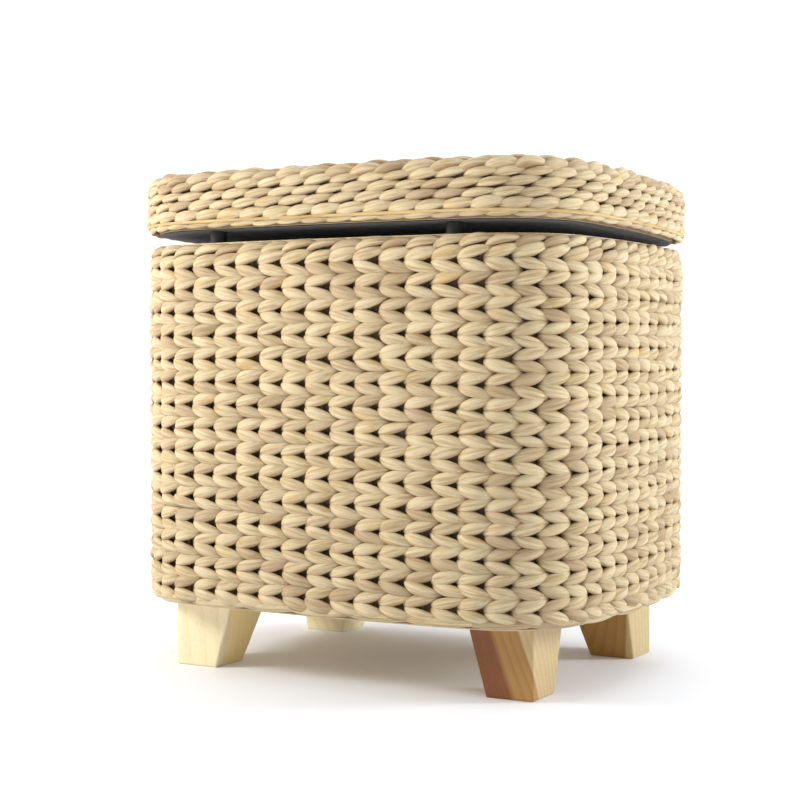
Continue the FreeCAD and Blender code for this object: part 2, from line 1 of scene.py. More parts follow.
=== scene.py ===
# %% [markdown]
# # A storage ottoman woven from dried leaves
#
# The piece is a small lidded stool. Its body and lid are plaited from rolled, dried leaves
# over a hidden wooden frame, and it stands on four short tapered feet of solid wood.
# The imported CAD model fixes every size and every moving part. This lesson dresses it:
# soft and woven parts are rebuilt in mesh code, and hard parts keep their CAD shape and
# get a finish of their own.

import math

import bpy
import numpy as np
from mathutils import Matrix, Vector


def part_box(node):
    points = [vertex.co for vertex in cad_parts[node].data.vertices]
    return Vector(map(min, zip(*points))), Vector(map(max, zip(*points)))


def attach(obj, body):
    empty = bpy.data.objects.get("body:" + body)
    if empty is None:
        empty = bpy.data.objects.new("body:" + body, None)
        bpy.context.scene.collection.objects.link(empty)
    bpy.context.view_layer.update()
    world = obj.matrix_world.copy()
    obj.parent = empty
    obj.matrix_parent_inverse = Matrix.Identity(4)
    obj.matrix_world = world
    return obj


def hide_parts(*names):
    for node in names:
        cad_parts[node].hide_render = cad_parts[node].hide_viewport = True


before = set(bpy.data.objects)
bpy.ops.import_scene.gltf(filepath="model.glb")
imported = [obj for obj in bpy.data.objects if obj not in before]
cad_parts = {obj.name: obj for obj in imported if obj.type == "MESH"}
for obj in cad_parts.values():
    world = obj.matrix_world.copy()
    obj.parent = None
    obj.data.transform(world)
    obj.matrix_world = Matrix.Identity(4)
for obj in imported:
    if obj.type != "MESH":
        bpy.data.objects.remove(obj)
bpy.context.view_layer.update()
body_low, body_high = (1000 * np.array(corner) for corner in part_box("woven_body"))
print("body of weave, mm:", np.round(body_low, 1), np.round(body_high, 1))

# %% [markdown]
# ## Where we stand and how the piece is lit
#
# A long lens from knee height, turned a little to the right-hand corner, shows the broad
# front and the narrower side together. The camera is placed at a given spot and only its lens
# makes the piece fill the picture, so nothing is shifted or blurred.

# %% The camera
CAMERA_PLACE = (0.6056, -1.118, 0.2309)
CAMERA_TURN = (88.396, 0.0, 29.057)
CAMERA_LENS = 75.87

lens = bpy.data.cameras.new("studio_camera")
lens.lens = CAMERA_LENS
lens.sensor_width = 36.0
lens.clip_start = 0.05
lens.clip_end = 60.0
camera = bpy.data.objects.new("studio_camera", lens)
camera.location = CAMERA_PLACE
camera.rotation_euler = [math.radians(angle) for angle in CAMERA_TURN]
bpy.context.collection.objects.link(camera)
bpy.context.scene.camera = camera
print("camera", CAMERA_PLACE, "lens", CAMERA_LENS)

# %% [markdown]
# The room is a plain white studio. A big soft light stands behind on the right: it
# brightens the side and the lid and throws the shadow forwards to the left. A second one at the
# front left shows the relief of the plait, and the white surroundings fill the rest.

# %% Soft lights
def soft_light(name, place, target, size, watts, tint=(1.0, 1.0, 1.0)):
    """A square soft light at place, turned towards target."""
    lamp = bpy.data.lights.new(name, "AREA")
    lamp.energy = watts
    lamp.size = size
    lamp.color = tint
    holder = bpy.data.objects.new(name, lamp)
    holder.location = place
    aim = Vector(target) - Vector(place)
    holder.rotation_euler = aim.to_track_quat("-Z", "Y").to_euler()
    bpy.context.collection.objects.link(holder)


MIDDLE = (0.0, 0.0, 0.2)
soft_light("key_right", (1.85, 0.95, 0.85), MIDDLE, 0.6, 32.0, (0.93, 0.97, 1.0))
soft_light("front_left", (-0.72, -0.6, 0.56), MIDDLE, 0.26, 7.6, (1.0, 0.97, 0.92))
soft_light("top_back", (0.3, 1.2, 1.9), MIDDLE, 1.1, 9.0)
print("three soft lights, aimed at", MIDDLE)

# %% [markdown]
# The surroundings, and later every finish, are made of nodes. Two helpers keep the wiring
# short: one makes a node with its settings, the other links or sets each of its inputs.

# %% Helpers: a node and its inputs
def wire(tree, made, links):
    """Links each of these inputs of a node to a socket, or sets its value."""
    for title, value in links.items():
        if isinstance(value, bpy.types.NodeSocket):
            tree.links.new(value, made.inputs[title])
        else:
            made.inputs[title].default_value = value


def node(tree, kind, links=None, **settings):
    """A new node with its settings made and its inputs linked or set."""
    made = tree.nodes.new(kind)
    for title, value in settings.items():
        setattr(made, title, value)
    wire(tree, made, links or {})
    return made


# %% [markdown]
# The surroundings look plain white, yet they light the piece as a white tent does: more
# from above than from the sides. One even white would be simpler, but it would fill the
# gaps of the plait with light and make it look flat.

# %% White surroundings
DOME_FROM = -0.1
DOME_SIDE = 0.2
DOME_TOP = 1.12
DOME_SEEN = 1.05

world = bpy.data.worlds.new("white_studio")
world.use_nodes = True
sky = world.node_tree
toward = node(sky, "ShaderNodeTexCoord").outputs["Generated"]
upward = node(sky, "ShaderNodeSeparateXYZ", {0: toward}).outputs["Z"]
dome = node(
    sky,
    "ShaderNodeMapRange",
    {"Value": upward, "From Min": DOME_FROM, "To Min": DOME_SIDE, "To Max": DOME_TOP},
)
seen = node(sky, "ShaderNodeLightPath").outputs["Is Camera Ray"]
glow = node(sky, "ShaderNodeMix", {"Factor": seen, "A": dome.outputs["Result"], "B": DOME_SEEN})
white = {"Color": (1.0, 1.0, 1.0, 1.0), "Strength": glow.outputs["Result"]}
wire(sky, sky.nodes["Background"], white)
bpy.context.scene.world = world
bpy.context.scene.view_settings.view_transform = "Standard"
print("white surroundings, brightness from", DOME_SIDE, "to", DOME_TOP)

# %% [markdown]
# The floor is one wide pale sheet, so large that it meets the white surround without
# an edge that the eye can find. It shines a little by itself away from the stool, as a
# lit table does, and only near the stool does it take a full shadow.

# %% Helpers: a piece from points, and a new finish
def plain_object(name, verts, faces, smooth=True):
    """A mesh object from lists of points in metres and faces."""
    mesh = bpy.data.meshes.new(name)
    mesh.from_pydata([tuple(v) for v in verts], [], [tuple(f) for f in faces])
    mesh.validate()
    if smooth:
        mesh.shade_smooth()
    made = bpy.data.objects.new(name, mesh)
    bpy.context.collection.objects.link(made)
    return made


def new_finish(name):
    """A new material, its node tree and its surface shader."""
    made = bpy.data.materials.new(name)
    made.use_nodes = True
    return made, made.node_tree, made.node_tree.nodes["Principled BSDF"]


# %% The floor
FLOOR_REACH = 60.0
WHITEN_FROM = 0.25
WHITEN_TO = 1.1
GLOW_NEAR = 0.03
GLOW_FAR = 0.8
PAPER_COLOUR = (0.845, 0.87, 0.92, 1.0)

corners = [(FLOOR_REACH * x, FLOOR_REACH * y, 0) for x, y in ((-1, -1), (1, -1), (1, 1), (-1, 1))]
floor = plain_object("studio_floor", corners, [(0, 1, 2, 3)])
paper, tree, shader = new_finish("white_paper")
place = node(tree, "ShaderNodeTexCoord").outputs["Object"]
whiten = node(
    tree,
    "ShaderNodeMapRange",
    {
        "Value": node(tree, "ShaderNodeVectorMath", {0: place}, operation="LENGTH").outputs["Value"],
        "From Min": WHITEN_FROM,
        "From Max": WHITEN_TO,
        "To Min": GLOW_NEAR,
        "To Max": GLOW_FAR,
    },
    interpolation_type="SMOOTHSTEP",
)
wire(tree, shader, {
    "Base Color": PAPER_COLOUR,
    "Roughness": 0.6,
    "Emission Color": whiten.outputs["Result"],
    "Emission Strength": 1.0,
})
floor.data.materials.append(paper)
print("floor laid, metres wide:", 2 * FLOOR_REACH)

# %% [markdown]
# ## The plan of the piece
#
# Seen from above, the body is a rectangle with rounded corners and faintly bowed sides:
# eight arcs that touch one another. Every woven row follows this line, so it is measured once as
# a list of points with their outward directions, walked by distance along it. A free curve
# could follow the outline too, but arcs keep their exact radius when they are moved inwards.

# %% The plan line
CORNER = 70.0
FRONT_CURVE = 1600.0
SIDE_CURVE = 600.0
LINE_STEP = 0.4


def unit(vector):
    """The vector at length one."""
    return vector / np.linalg.norm(vector)


def arc(centre, radius, first, last):
    """Points and outward directions on an arc, counter-clockwise, without its last point."""
    start = math.atan2(*(first - centre)[::-1])
    sweep = (math.atan2(*(last - centre)[::-1]) - start) % (2 * math.pi)
    count = max(2, round(radius * sweep / LINE_STEP))
    turn = start + sweep * np.arange(count) / count
    outward = np.stack([np.cos(turn), np.sin(turn)], axis=1)
    return centre + radius * outward, outward


def plan_line(half_width, half_depth, corner, front_curve, side_curve):
    """The eight arcs as a dict of points, outward directions and distances, in millimetres."""
    front = np.array([0.0, front_curve - half_depth])
    side = np.array([half_width - side_curve, 0.0])
    apart = np.linalg.norm(side - front)
    reach = front_curve - corner
    along = (reach**2 - (side_curve - corner) ** 2 + apart**2) / (2 * apart)
    across = math.sqrt(reach**2 - along**2)
    toward = unit(side - front)
    middle = front + along * toward
    bend = middle + across * np.array([-toward[1], toward[0]])
    if bend[0] < 0 or bend[1] > 0:
        bend = middle - across * np.array([-toward[1], toward[0]])
    meets_front = bend + corner * unit(bend - front)
    meets_side = bend + corner * unit(bend - side)
    flip_x = np.array([-1.0, 1.0])
    flip_y = np.array([1.0, -1.0])
    pieces = [
        arc(front, front_curve, meets_front * flip_x, meets_front),
        arc(bend, corner, meets_front, meets_side),
        arc(side, side_curve, meets_side, meets_side * flip_y),
        arc(bend * flip_y, corner, meets_side * flip_y, meets_front * flip_y),
        arc(front * flip_y, front_curve, meets_front * flip_y, -meets_front),
        arc(-bend, corner, -meets_front, -meets_side),
        arc(side * flip_x, side_curve, -meets_side, meets_side * flip_x),
        arc(bend * flip_x, corner, meets_side * flip_x, meets_front * flip_x),
    ]
    points = np.concatenate([p for p, _ in pieces])
    outward = np.concatenate([n for _, n in pieces])
    closed = np.vstack([points, points[:1]])
    walked = np.r_[0, np.cumsum(np.linalg.norm(np.diff(closed, axis=0), axis=1))]
    return {
        "points": closed,
        "outward": np.vstack([outward, outward[:1]]),
        "walked": walked,
        "length": walked[-1],
    }


def on_line(line, distance, inset=0.0):
    """Points and outward directions at these distances along the line, moved inwards."""
    where = np.mod(distance, line["length"])
    point = [np.interp(where, line["walked"], line["points"][:, k]) for k in (0, 1)]
    outward = [np.interp(where, line["walked"], line["outward"][:, k]) for k in (0, 1)]
    point = np.stack(point, axis=-1)
    outward = np.stack(outward, axis=-1)
    return point - outward * np.asarray(inset)[..., None], outward


HALF_WIDTH = (body_high[0] - body_low[0]) / 2
HALF_DEPTH = (body_high[1] - body_low[1]) / 2
body_line = plan_line(HALF_WIDTH, HALF_DEPTH, CORNER, FRONT_CURVE, SIDE_CURVE)
print("once round the body, mm:", round(body_line["length"], 1))

# %% [markdown]
# ## One rolled leaf
#
# A plait like this is made of soft rolled strands. Each stitch comes out from behind the
# last one, swells over its stake and dives behind the next. So one stitch is a tube along
# a curved path: thick and blunt where it comes out, thin where it goes in. It could be one leaf
# copied many times, but real leaves all differ, so each is computed with its own width,
# slope, twist and fold, from a seeded draw. Whole rows are computed at once as arrays.

# %% Leaves as tubes
AROUND = 18
ALONG = 14
LEAF_FROM = -0.22
LEAF_TO = 1.34
draw = np.random.default_rng(41)


def spread(count, size):
    """One random number around zero for each leaf, never more than twice size."""
    return np.clip(draw.normal(0.0, size, count), -2 * size, 2 * size)[:, None]


def leaf_row(line, starts, level, inset=0.0, tilt=0.0, low=1.0, high=7.6, half=4.0,
             thick=3.0, crest=-2.7, hidden=-7.8, wander=1.0, tone=0.0):
    """A row of leaves in millimetres. low and high are where a leaf comes out and goes in,
    above the row's level; crest and hidden are how deep its middle lies; tilt leans the
    row back over an edge, in degrees."""
    count = len(starts)
    pitch = line["length"] / count
    part = np.linspace(0.012, 0.985, ALONG)[None, :]
    swell = np.sin(np.pi * part**0.87)
    starts = starts[:, None] + spread(count, 0.5 * wander)
    run = starts + pitch * (LEAF_FROM + (LEAF_TO - LEAF_FROM) * part)
    point, outward = on_line(line, run, inset)
    normal = np.concatenate([outward, np.zeros_like(outward[..., :1])], axis=-1)
    above = np.array([0.0, 0.0, 1.0])
    lean = math.radians(tilt)
    out = math.cos(lean) * normal + math.sin(lean) * above
    up = -math.sin(lean) * normal + math.cos(lean) * above
    low = low + spread(count, 0.35 * wander)
    high = high + spread(count, 0.5 * wander)
    rise = (low + (high - low) * part**0.8)[..., None]
    depth = (hidden + (crest + spread(count, 0.4 * wander) - hidden) * swell**0.8)[..., None]
    base = np.concatenate([point, np.full_like(point[..., :1], level)], axis=-1)
    middle = base + out * depth + up * rise
    course = np.gradient(middle, axis=1)
    course /= np.linalg.norm(course, axis=-1, keepdims=True)
    side = up - course * (up * course).sum(-1, keepdims=True)
    side /= np.linalg.norm(side, axis=-1, keepdims=True)
    face = np.cross(course, side)
    twist = (spread(count, 0.16) + spread(count, 0.25) * (part - 0.5))[..., None]
    side, face = (
        np.cos(twist) * side + np.sin(twist) * face,
        np.cos(twist) * face - np.sin(twist) * side,
    )
    turn = (2 * np.pi * np.arange(AROUND) / AROUND)[None, None, :]
    lobes = 0.04 * np.cos(3 * turn + draw.uniform(0, 6.3, count)[:, None, None] + 2 * part[..., None])
    fold = draw.uniform(0.35, 2.8, count)[:, None, None] + 0.7 * (part[..., None] - 0.5)
    gap = (turn - fold + np.pi) % (2 * np.pi) - np.pi
    crease = draw.uniform(0.02, 0.1, count)[:, None, None] * np.exp(-((gap / 0.26) ** 2))
    plump = (np.sin(np.pi * part**0.76) ** 0.74)[..., None] * (1 + lobes - crease)
    wide = half * (1 + spread(count, 0.07 * wander))[..., None] * plump
    deep = thick * (1 + spread(count, 0.08 * wander))[..., None] * plump
    ring = (
        middle[:, :, None, :]
        + side[:, :, None, :] * (wide * np.cos(turn))[..., None]
        + face[:, :, None, :] * (deep * np.sin(turn))[..., None]
    )
    shape = (count, ALONG, AROUND)
    # painted shade on each leaf: strong along its lower edge, weaker along its upper edge, where it
    # presses on the next leaf, and towards both ends, where it goes in
    lower_edge = ((1 - np.cos(turn)) / 2) ** 5
    upper_edge = ((1 + np.cos(turn)) / 2) ** 8
    edge_shade = 0.85 * lower_edge + 0.5 * upper_edge
    shade = np.clip(0.5 + tone + spread(count, 0.24), 0.0, 1.0)
    grain = np.stack(
        [
            np.broadcast_to((30 * part + draw.uniform(0, 900, (count, 1)))[..., None], shape),
            wide * np.cos(turn) + draw.uniform(0, 90, (count, 1, 1)),
            deep * np.sin(turn) + np.zeros(shape),
        ],
        axis=-1,
    )
    return {
        "ring": ring,
        "grain": grain,
        "tone": np.broadcast_to(shade[:, :, None], shape),
        "tuck_shade": np.broadcast_to(np.maximum((1 - swell**0.7)[..., None], edge_shade), shape),
    }


# %% [markdown]
# Rows that belong together are joined into one object. Each leaf is closed at both ends, so every
# piece is a true solid and could be printed. Three values travel with the points for
# the finish: where a point lies along and around its leaf, the leaf's own tone, and how
# near it is to a tucked-in end or to an edge that presses on the next leaf, where the finish paints
# shade.

# %% From rows to one object
def leaf_faces(count):
    """Quads along the tubes and triangles over their ends, as lists of point numbers."""
    leaf = np.arange(count)[:, None, None] * (ALONG * AROUND + 2)
    j = np.arange(ALONG - 1)[None, :, None] * AROUND
    k = np.arange(AROUND)[None, None, :]
    after = (k + 1) % AROUND
    here = leaf + j
    there = here + AROUND
    quads = np.stack([here + k, here + after, there + after, there + k], axis=-1).reshape(-1, 4)
    leaf, k, after = leaf[:, 0], k[:, 0], after[:, 0]
    last = leaf + (ALONG - 1) * AROUND
    ends = leaf + ALONG * AROUND
    first_cap = np.stack([ends + 0 * k, leaf + after, leaf + k], axis=-1)
    last_cap = np.stack([ends + 1 + 0 * k, last + k, last + after], axis=-1)
    return quads, np.concatenate([first_cap.reshape(-1, 3), last_cap.reshape(-1, 3)])


def with_ends(values):
    """Adds the middle of the first and of the last ring behind each leaf's own points."""
    count = values.shape[0]
    ends = np.stack([values[:, 0].mean(axis=1), values[:, -1].mean(axis=1)], axis=1)
    return np.concatenate([values.reshape(count, -1, values.shape[-1]), ends], axis=1)


def carry(piece, title, values, kind="FLOAT"):
    """Lets every point of a piece carry a number, or a vector where kind says so."""
    made = piece.data.attributes.new(title, kind, "POINT")
    field = "value" if kind == "FLOAT" else "vector"
    made.data.foreach_set(field, np.asarray(values, np.float32).ravel())


def woven_object(name, rows):
    """Joins rows of leaves into one object, in metres."""
    ring, grain, tone, tuck_shade = (
        np.concatenate([row[title] for row in rows]) for title in ("ring", "grain", "tone", "tuck_shade")
    )
    verts = with_ends(ring).reshape(-1, 3) * 0.001
    quads, triangles = leaf_faces(len(ring))
    corners = np.concatenate([quads.ravel(), triangles.ravel()]).astype(np.int32)
    starts = np.concatenate([4 * np.arange(len(quads)), quads.size + 3 * np.arange(len(triangles))])
    mesh = bpy.data.meshes.new(name)
    mesh.vertices.add(len(verts))
    mesh.vertices.foreach_set("co", verts.astype(np.float32).ravel())
    mesh.loops.add(len(corners))
    mesh.loops.foreach_set("vertex_index", corners)
    mesh.polygons.add(len(starts))
    mesh.polygons.foreach_set("loop_start", starts.astype(np.int32))
    mesh.update(calc_edges=True)
    mesh.shade_smooth()
    piece = bpy.data.objects.new(name, mesh)
    bpy.context.collection.objects.link(piece)
    carry(piece, "tone", with_ends(tone[..., None]))
    carry(piece, "tuck_shade", with_ends(tuck_shade[..., None]))
    carry(piece, "grain", with_ends(grain), "FLOAT_VECTOR")
    return piece


# %% [markdown]
# ## The plaited body
#
# Two half rows make one course: the upper leaves rise to the right and the lower ones
# fall, so a course reads as a line of arrowheads. Every course turns round the same
# upright stakes, so the arrowheads stand above one another, with small dark gaps between.
# One course could be made and copied, but a hand-made plait never repeats, so each is
# computed afresh and wanders a little up and down.

# %% Courses of the body
STAKES = 60
COURSES = 15
COURSE_HEIGHT = 16.4
BODY_FOOT = 54.2
FIRST_STAKE = 7.5

stakes = FIRST_STAKE + body_line["length"] * np.arange(STAKES) / STAKES
wave_at = draw.uniform(0, 6.3, (COURSES + 1, 3))


def wavy(row, starts):
    """How far a row wanders up and down along the body, in millimetres."""
    turn = 2 * np.pi * starts / body_line["length"]
    return sum(0.28 * np.sin((3 + 4 * k) * turn + wave_at[row, k]) for k in range(3))[:, None]


def course(number):
    """The two half rows of one course, counted from the floor up."""
    level = BODY_FOOT + COURSE_HEIGHT * (number + 0.5)
    shift = wavy(number, stakes)
    lean = 0.35 * math.sin(2.1 * number)
    upper = leaf_row(body_line, stakes + lean, level, low=0.3 + shift, high=8.3 + shift, half=4.5)
    lower = leaf_row(body_line, stakes + lean, level, low=-0.3 + shift, high=-8.3 + shift, half=4.5)
    return [upper, lower]


body_weave = []
for number in range(COURSES):
    body_weave.append(woven_object(f"body_course_{number + 1:02d}", course(number)))
print("courses:", len(body_weave), "leaves each:", 2 * STAKES)

# %% [markdown]
# The courses end in a rim of longer leaves that roll over the top edge, with a finer row
# inside it. At the foot, long flat strands bind the edge. They are made as the courses are,
# only tilted over the edge, so that their leaves match the rest.

# %% Rim and foot of the body
rim = [
    leaf_row(body_line, stakes + 1.0, 305.9, inset=2.0, tilt=34, low=-3.6, high=3.4,
             half=3.8, thick=2.6, crest=-2.6, hidden=-7.4),
    leaf_row(body_line, body_line["length"] * np.arange(96) / 96, 308.6, inset=9.3, tilt=88,
             low=-0.8, high=0.8, half=2.6, thick=2.0, crest=-2.2, hidden=-4.2, wander=0.5),
]
body_weave.append(woven_object("body_rim", rim))
foot_edge = [
    leaf_row(body_line, 5 + body_line["length"] * np.arange(26) / 26, 52.6, inset=1.6,
             tilt=-24, low=-0.6, high=0.6, half=3.3, thick=2.3, crest=-2.2, hidden=-5.4,
             wander=0.6, tone=0.12),
]
body_weave.append(woven_object("body_foot_edge", foot_edge))
print("rim and foot edge made")

# %% [markdown]
# Behind the leaves stand the stakes that they were woven round, and behind those a thin dark
# wall. Both are seen only as the dark of the gaps, and their dark brown is painted shade; without
# them light would fall through the wall. Plain thin walls and rods do for parts that lie in the dark.

# %% Stakes and the dark wall of painted shade
def between_rings(count, wide, first=0, closed=False):
    """Quads that join each ring of points to the next, and the last to the first if closed."""
    faces = []
    for j in range(count if closed else count - 1):
        here = first + j * wide
        there = first + (j + 1) % count * wide
        for k in range(wide):
            after = (k + 1) % wide
            faces.append((here + k, here + after, there + after, there + k))
    return faces


def band(name, line, inset, thickness, low, high, step=4.0):
    """A thin closed wall that follows the plan line between two heights."""
    count = int(line["length"] / step)
    walk = line["length"] * np.arange(count) / count
    outer, _ = on_line(line, walk, inset)
    inner, _ = on_line(line, walk, inset + thickness)
    rings = [(outer, low), (outer, high), (inner, high), (inner, low)]
    verts = np.concatenate([np.c_[p, np.full(count, z)] for p, z in rings]) * 0.001
    return plain_object(name, verts, between_rings(4, count, closed=True), smooth=False)


def round_rods(name, line, walk, inset, radius, low, high, sides=10):
    """Upright rods along the line, with gently waving sides, closed at both ends."""
    middle, _ = on_line(line, walk, inset)
    levels = np.linspace(low, high, 12)
    turn = 2 * np.pi * np.arange(sides) / sides
    verts, faces = [], []
    for k, (x, y) in enumerate(middle):
        first = len(verts)
        for j, z in enumerate(levels):
            grow = radius * (1 + 0.06 * math.sin(1.7 * j + k))
            verts += [(x + grow * math.cos(t), y + grow * math.sin(t), z) for t in turn]
        faces += between_rings(len(levels), sides, first)
        faces.append(tuple(first + side for side in reversed(range(sides))))
        faces.append(tuple(len(verts) - sides + side for side in range(sides)))
    return plain_object(name, np.array(verts) * 0.001, faces)


WALL_LOW = 50.0
WALL_HIGH = 306.0
body_shade_wall = band("body_shade_wall", body_line, 10.2, 0.7, WALL_LOW, WALL_HIGH)
body_stakes = round_rods("body_stakes", body_line, stakes + 8.0, 8.6, 1.5, WALL_LOW + 0.5, WALL_HIGH)
print("backing and", STAKES, "stakes")

# %% [markdown]
# ## The woven lid
#
# The lid is worked in single rows: one that rolls over the top edge, three fine rows down
# the side, then a wider flat one above a binding strand, and a small row tucked under. Its top is
# worked in rings, each inside the last. All of it is made level and then tipped
# a little about the hinge, because the lid rests with its front edge slightly raised.

# %% Rows of the lid
LID_LOW = 311.6
LID_HIGH = 353.8
LID_OVERHANG = 2.0
REST_TILT = math.radians(1.2)
HINGE_AXIS = (150.0, 310.3)
LID_STITCHES = 59

lid_line = plan_line(HALF_WIDTH + LID_OVERHANG, HALF_DEPTH + LID_OVERHANG,
                     CORNER + LID_OVERHANG, FRONT_CURVE + LID_OVERHANG, SIDE_CURVE + LID_OVERHANG)
to_rest = (
    Matrix.Translation((0, HINGE_AXIS[0] * 0.001, HINGE_AXIS[1] * 0.001))
    @ Matrix.Rotation(-REST_TILT, 4, "X")
    @ Matrix.Translation((0, -HINGE_AXIS[0] * 0.001, -HINGE_AXIS[1] * 0.001))
)


def lid_stitches(shift):
    """Starting distances of one row of the lid, shifted by a part of a stitch."""
    return lid_line["length"] * (np.arange(LID_STITCHES) + shift) / LID_STITCHES


LID_ROW_STEP = 6.6
lid_rows = [
    leaf_row(lid_line, lid_stitches(0.1), LID_LOW + 2.8, inset=1.7, tilt=-20, low=-0.9, high=1.1,
             half=2.4, thick=1.9, crest=-1.8, hidden=-4.6, wander=0.6),
    leaf_row(lid_line, lid_stitches(0.55), LID_LOW + 9.6, low=-1.9, high=2.4, half=4.4,
             thick=2.1, crest=-1.9, hidden=-6.0, wander=0.8, tone=0.2),
]
for number in range(3):
    level = LID_LOW + 17.1 + LID_ROW_STEP * number
    lid_rows.append(
        leaf_row(lid_line, lid_stitches(0.2 + 0.55 * number), level, low=-2.2, high=2.6, half=3.4,
                 thick=2.7, crest=-2.6, hidden=-7.0)
    )
lid_side = woven_object("lid_side_rows", lid_rows)
lid_edge = woven_object("lid_edge_row", [
    leaf_row(lid_line, lid_stitches(0.05), LID_LOW + 38.0, inset=2.5, tilt=40, low=-2.8, high=3.2,
             half=5.0, thick=3.1, crest=-2.9, hidden=-7.4)])
print("lid side made")

# %% [markdown]
# The top is worked in rings, like a basket's lid. Parallel straight rows would be simpler,
# but real rows turn with the outline, and their rounded corners grow rounder towards the middle.

# %% Rings on top of the lid
TOP_SPACING = 7.765
TOP_FIRST = 11.6
STITCH = 20.0


def top_ring_line(inset):
    """A ring of the lid's top: its corners grow rounder towards the middle."""
    half_depth = HALF_DEPTH + LID_OVERHANG - inset
    share = inset / (HALF_DEPTH + LID_OVERHANG)
    corner = half_depth * min(0.446 + 0.5 * share**2, 0.86)
    half_width = HALF_WIDTH + LID_OVERHANG - inset
    return plan_line(half_width, half_depth, corner, FRONT_CURVE, SIDE_CURVE)


top_rows = []
inset = TOP_FIRST
while inset < HALF_DEPTH - 2:
    line = top_ring_line(inset)
    stitches = max(6, round(line["length"] / STITCH))
    begin = draw.uniform(0, 20)
    starts = begin + line["length"] * np.arange(stitches) / stitches
    top_rows.append(
        leaf_row(line, starts, LID_HIGH, tilt=90, low=-2.0, high=2.2, half=4.7, thick=2.8,
                 crest=-2.9, hidden=-6.6)
    )
    inset += TOP_SPACING
outer_count = len(top_rows) // 3
lid_top_outer = woven_object("lid_top_outer", top_rows[:outer_count])
lid_top_inner = woven_object("lid_top_inner", top_rows[outer_count:])
print("rings on top:", len(top_rows))

# %% [markdown]
# A thin golden strand runs once round the lid, between its lowest rows. It is one
# unbroken tube, so it is swept directly along the plan line. Inside the lid a dark wall and
# a dark panel stand behind the leaves, as in the body; their dark brown is painted shade.

# %% The binding strand and the lid's dark wall and panel of painted shade
SHADE_WALL_TOP = 344.4
PANEL_LEVEL = 344.45


def strand(name, line, inset, level, half, thick, sides=12, step=3.0):
    """One flat strand that runs the whole way round, swelling a little as it goes."""
    count = int(line["length"] / step)
    walk = line["length"] * np.arange(count) / count
    middle, outward = on_line(line, walk, inset)
    grow = 1 + 0.07 * np.sin(9 * 2 * np.pi * np.arange(count) / count)
    turn = 2 * np.pi * np.arange(sides) / sides
    verts = np.zeros((count, sides, 3))
    verts[..., :2] = middle[:, None, :] + outward[:, None, :] * (
        (thick * grow)[:, None] * np.sin(turn))[..., None]
    verts[..., 2] = level + (half * grow)[:, None] * np.cos(turn)
    faces = between_rings(count, sides, closed=True)
    piece = plain_object(name, verts.reshape(-1, 3) * 0.001, faces)
    grain = np.zeros((count, sides, 3))
    grain[..., 0] = walk[:, None]
    grain[..., 1] = half * np.cos(turn)
    grain[..., 2] = thick * np.sin(turn)
    carry(piece, "grain", grain, "FLOAT_VECTOR")
    carry(piece, "tone", np.full(count * sides, 0.86))
    return piece


def flat_panel(name, line, inset, level, thickness):
    """A thin panel with the outline of the plan line."""
    count = 160
    edge, _ = on_line(line, line["length"] * np.arange(count) / count, inset)
    verts = []
    for z in (level, level + thickness):
        for share in (1.0, 0.66, 0.33):
            verts += [(x * share, y * share, z) for x, y in edge]
        verts.append((0.0, 0.0, z))
    faces = []
    half = 3 * count + 1
    for k in range(count):
        after = (k + 1) % count
        for top in (0, 1):
            o = top * half
            for ring in (0, 1):
                quad = (o + ring * count + k, o + ring * count + after,
                        o + (ring + 1) * count + after, o + (ring + 1) * count + k)
                faces.append(quad if top else quad[::-1])
            fan = (o + 2 * count + k, o + 2 * count + after, o + 3 * count)
            faces.append(fan if top else fan[::-1])
        faces.append((k, after, half + after, half + k))
    return plain_object(name, np.array(verts) * 0.001, faces, smooth=False)


lid_binding = strand("lid_binding", lid_line, 1.5, LID_LOW + 5.6, 1.1, 1.1)
lid_shade_wall = band("lid_shade_wall", lid_line, 9.2, 0.6, LID_LOW + 1.2, SHADE_WALL_TOP)
lid_shade_panel = flat_panel("lid_top_shade_panel", lid_line, 9.9, PANEL_LEVEL, 0.5)
print("binding and backing of the lid made")

# %% [markdown]
# ## Cloth and foam
#
# Inside hangs a bag of thick unbleached cotton, folded out over the frame at the top and
# stapled there. It was sewn from one cross-shaped cut. It could be draped by simulation, but it is
# held taut by its sewn corners, so its few soft folds are computed directly.

# %% The cotton bag
BAG_INSET = 37.2
BAG_FLOOR = 62.3

bag_walk = body_line["length"] * np.arange(240) / 240


def bag_folds(walk, level):
    """How far the cloth hangs inwards at each place of the wall, in millimetres."""
    turn = 2 * np.pi * walk / body_line["length"]
    loose = math.sin(math.pi * min(1.0, max(0.0, (level - 62) / 246))) ** 0.7
    soft = 1.1 + 0.8 * np.sin(5 * turn + 0.012 * level) + 0.5 * np.sin(11 * turn - 0.02 * level)
    fine = 0.25 * np.sin(29 * turn + 0.05 * level)
    return np.clip(soft + fine, 0.05, 3.0) * loose


def face_inwards(faces):
    """The same quads seen from their other side."""
    return [(a, d, c, b) for a, b, c, d in faces]


def bag_rings():
    """Rings of points from the folded-out top down the wall and in over the floor."""
    profile = [(28.0, 309.9), (31.0, 310.15), (35.0, 310.2), (36.6, 309.8), (BAG_INSET, 308.3)]
    profile += [(BAG_INSET, level) for level in np.linspace(303, 69, 40)]
    profile += [(BAG_INSET + 1.2, 65.0), (BAG_INSET + 4.0, 63.0), (BAG_INSET + 9.0, BAG_FLOOR)]
    rings = []
    for inset, level in profile:
        ring, _ = on_line(body_line, bag_walk, inset + bag_folds(bag_walk, level))
        rings.append(np.c_[ring, np.full(len(ring), level)])
    edge = rings[-1]
    turn = 2 * np.pi * np.arange(len(edge)) / len(edge)
    for share in (0.93, 0.85, 0.75, 0.62, 0.48, 0.33, 0.18, 0.06):
        sunk = edge * [share, share, 1.0]
        sunk[:, 2] += 0.25 * np.sin(5 * turn + 9 * share) * math.sin(math.pi * share)
        rings.append(sunk)
    return rings


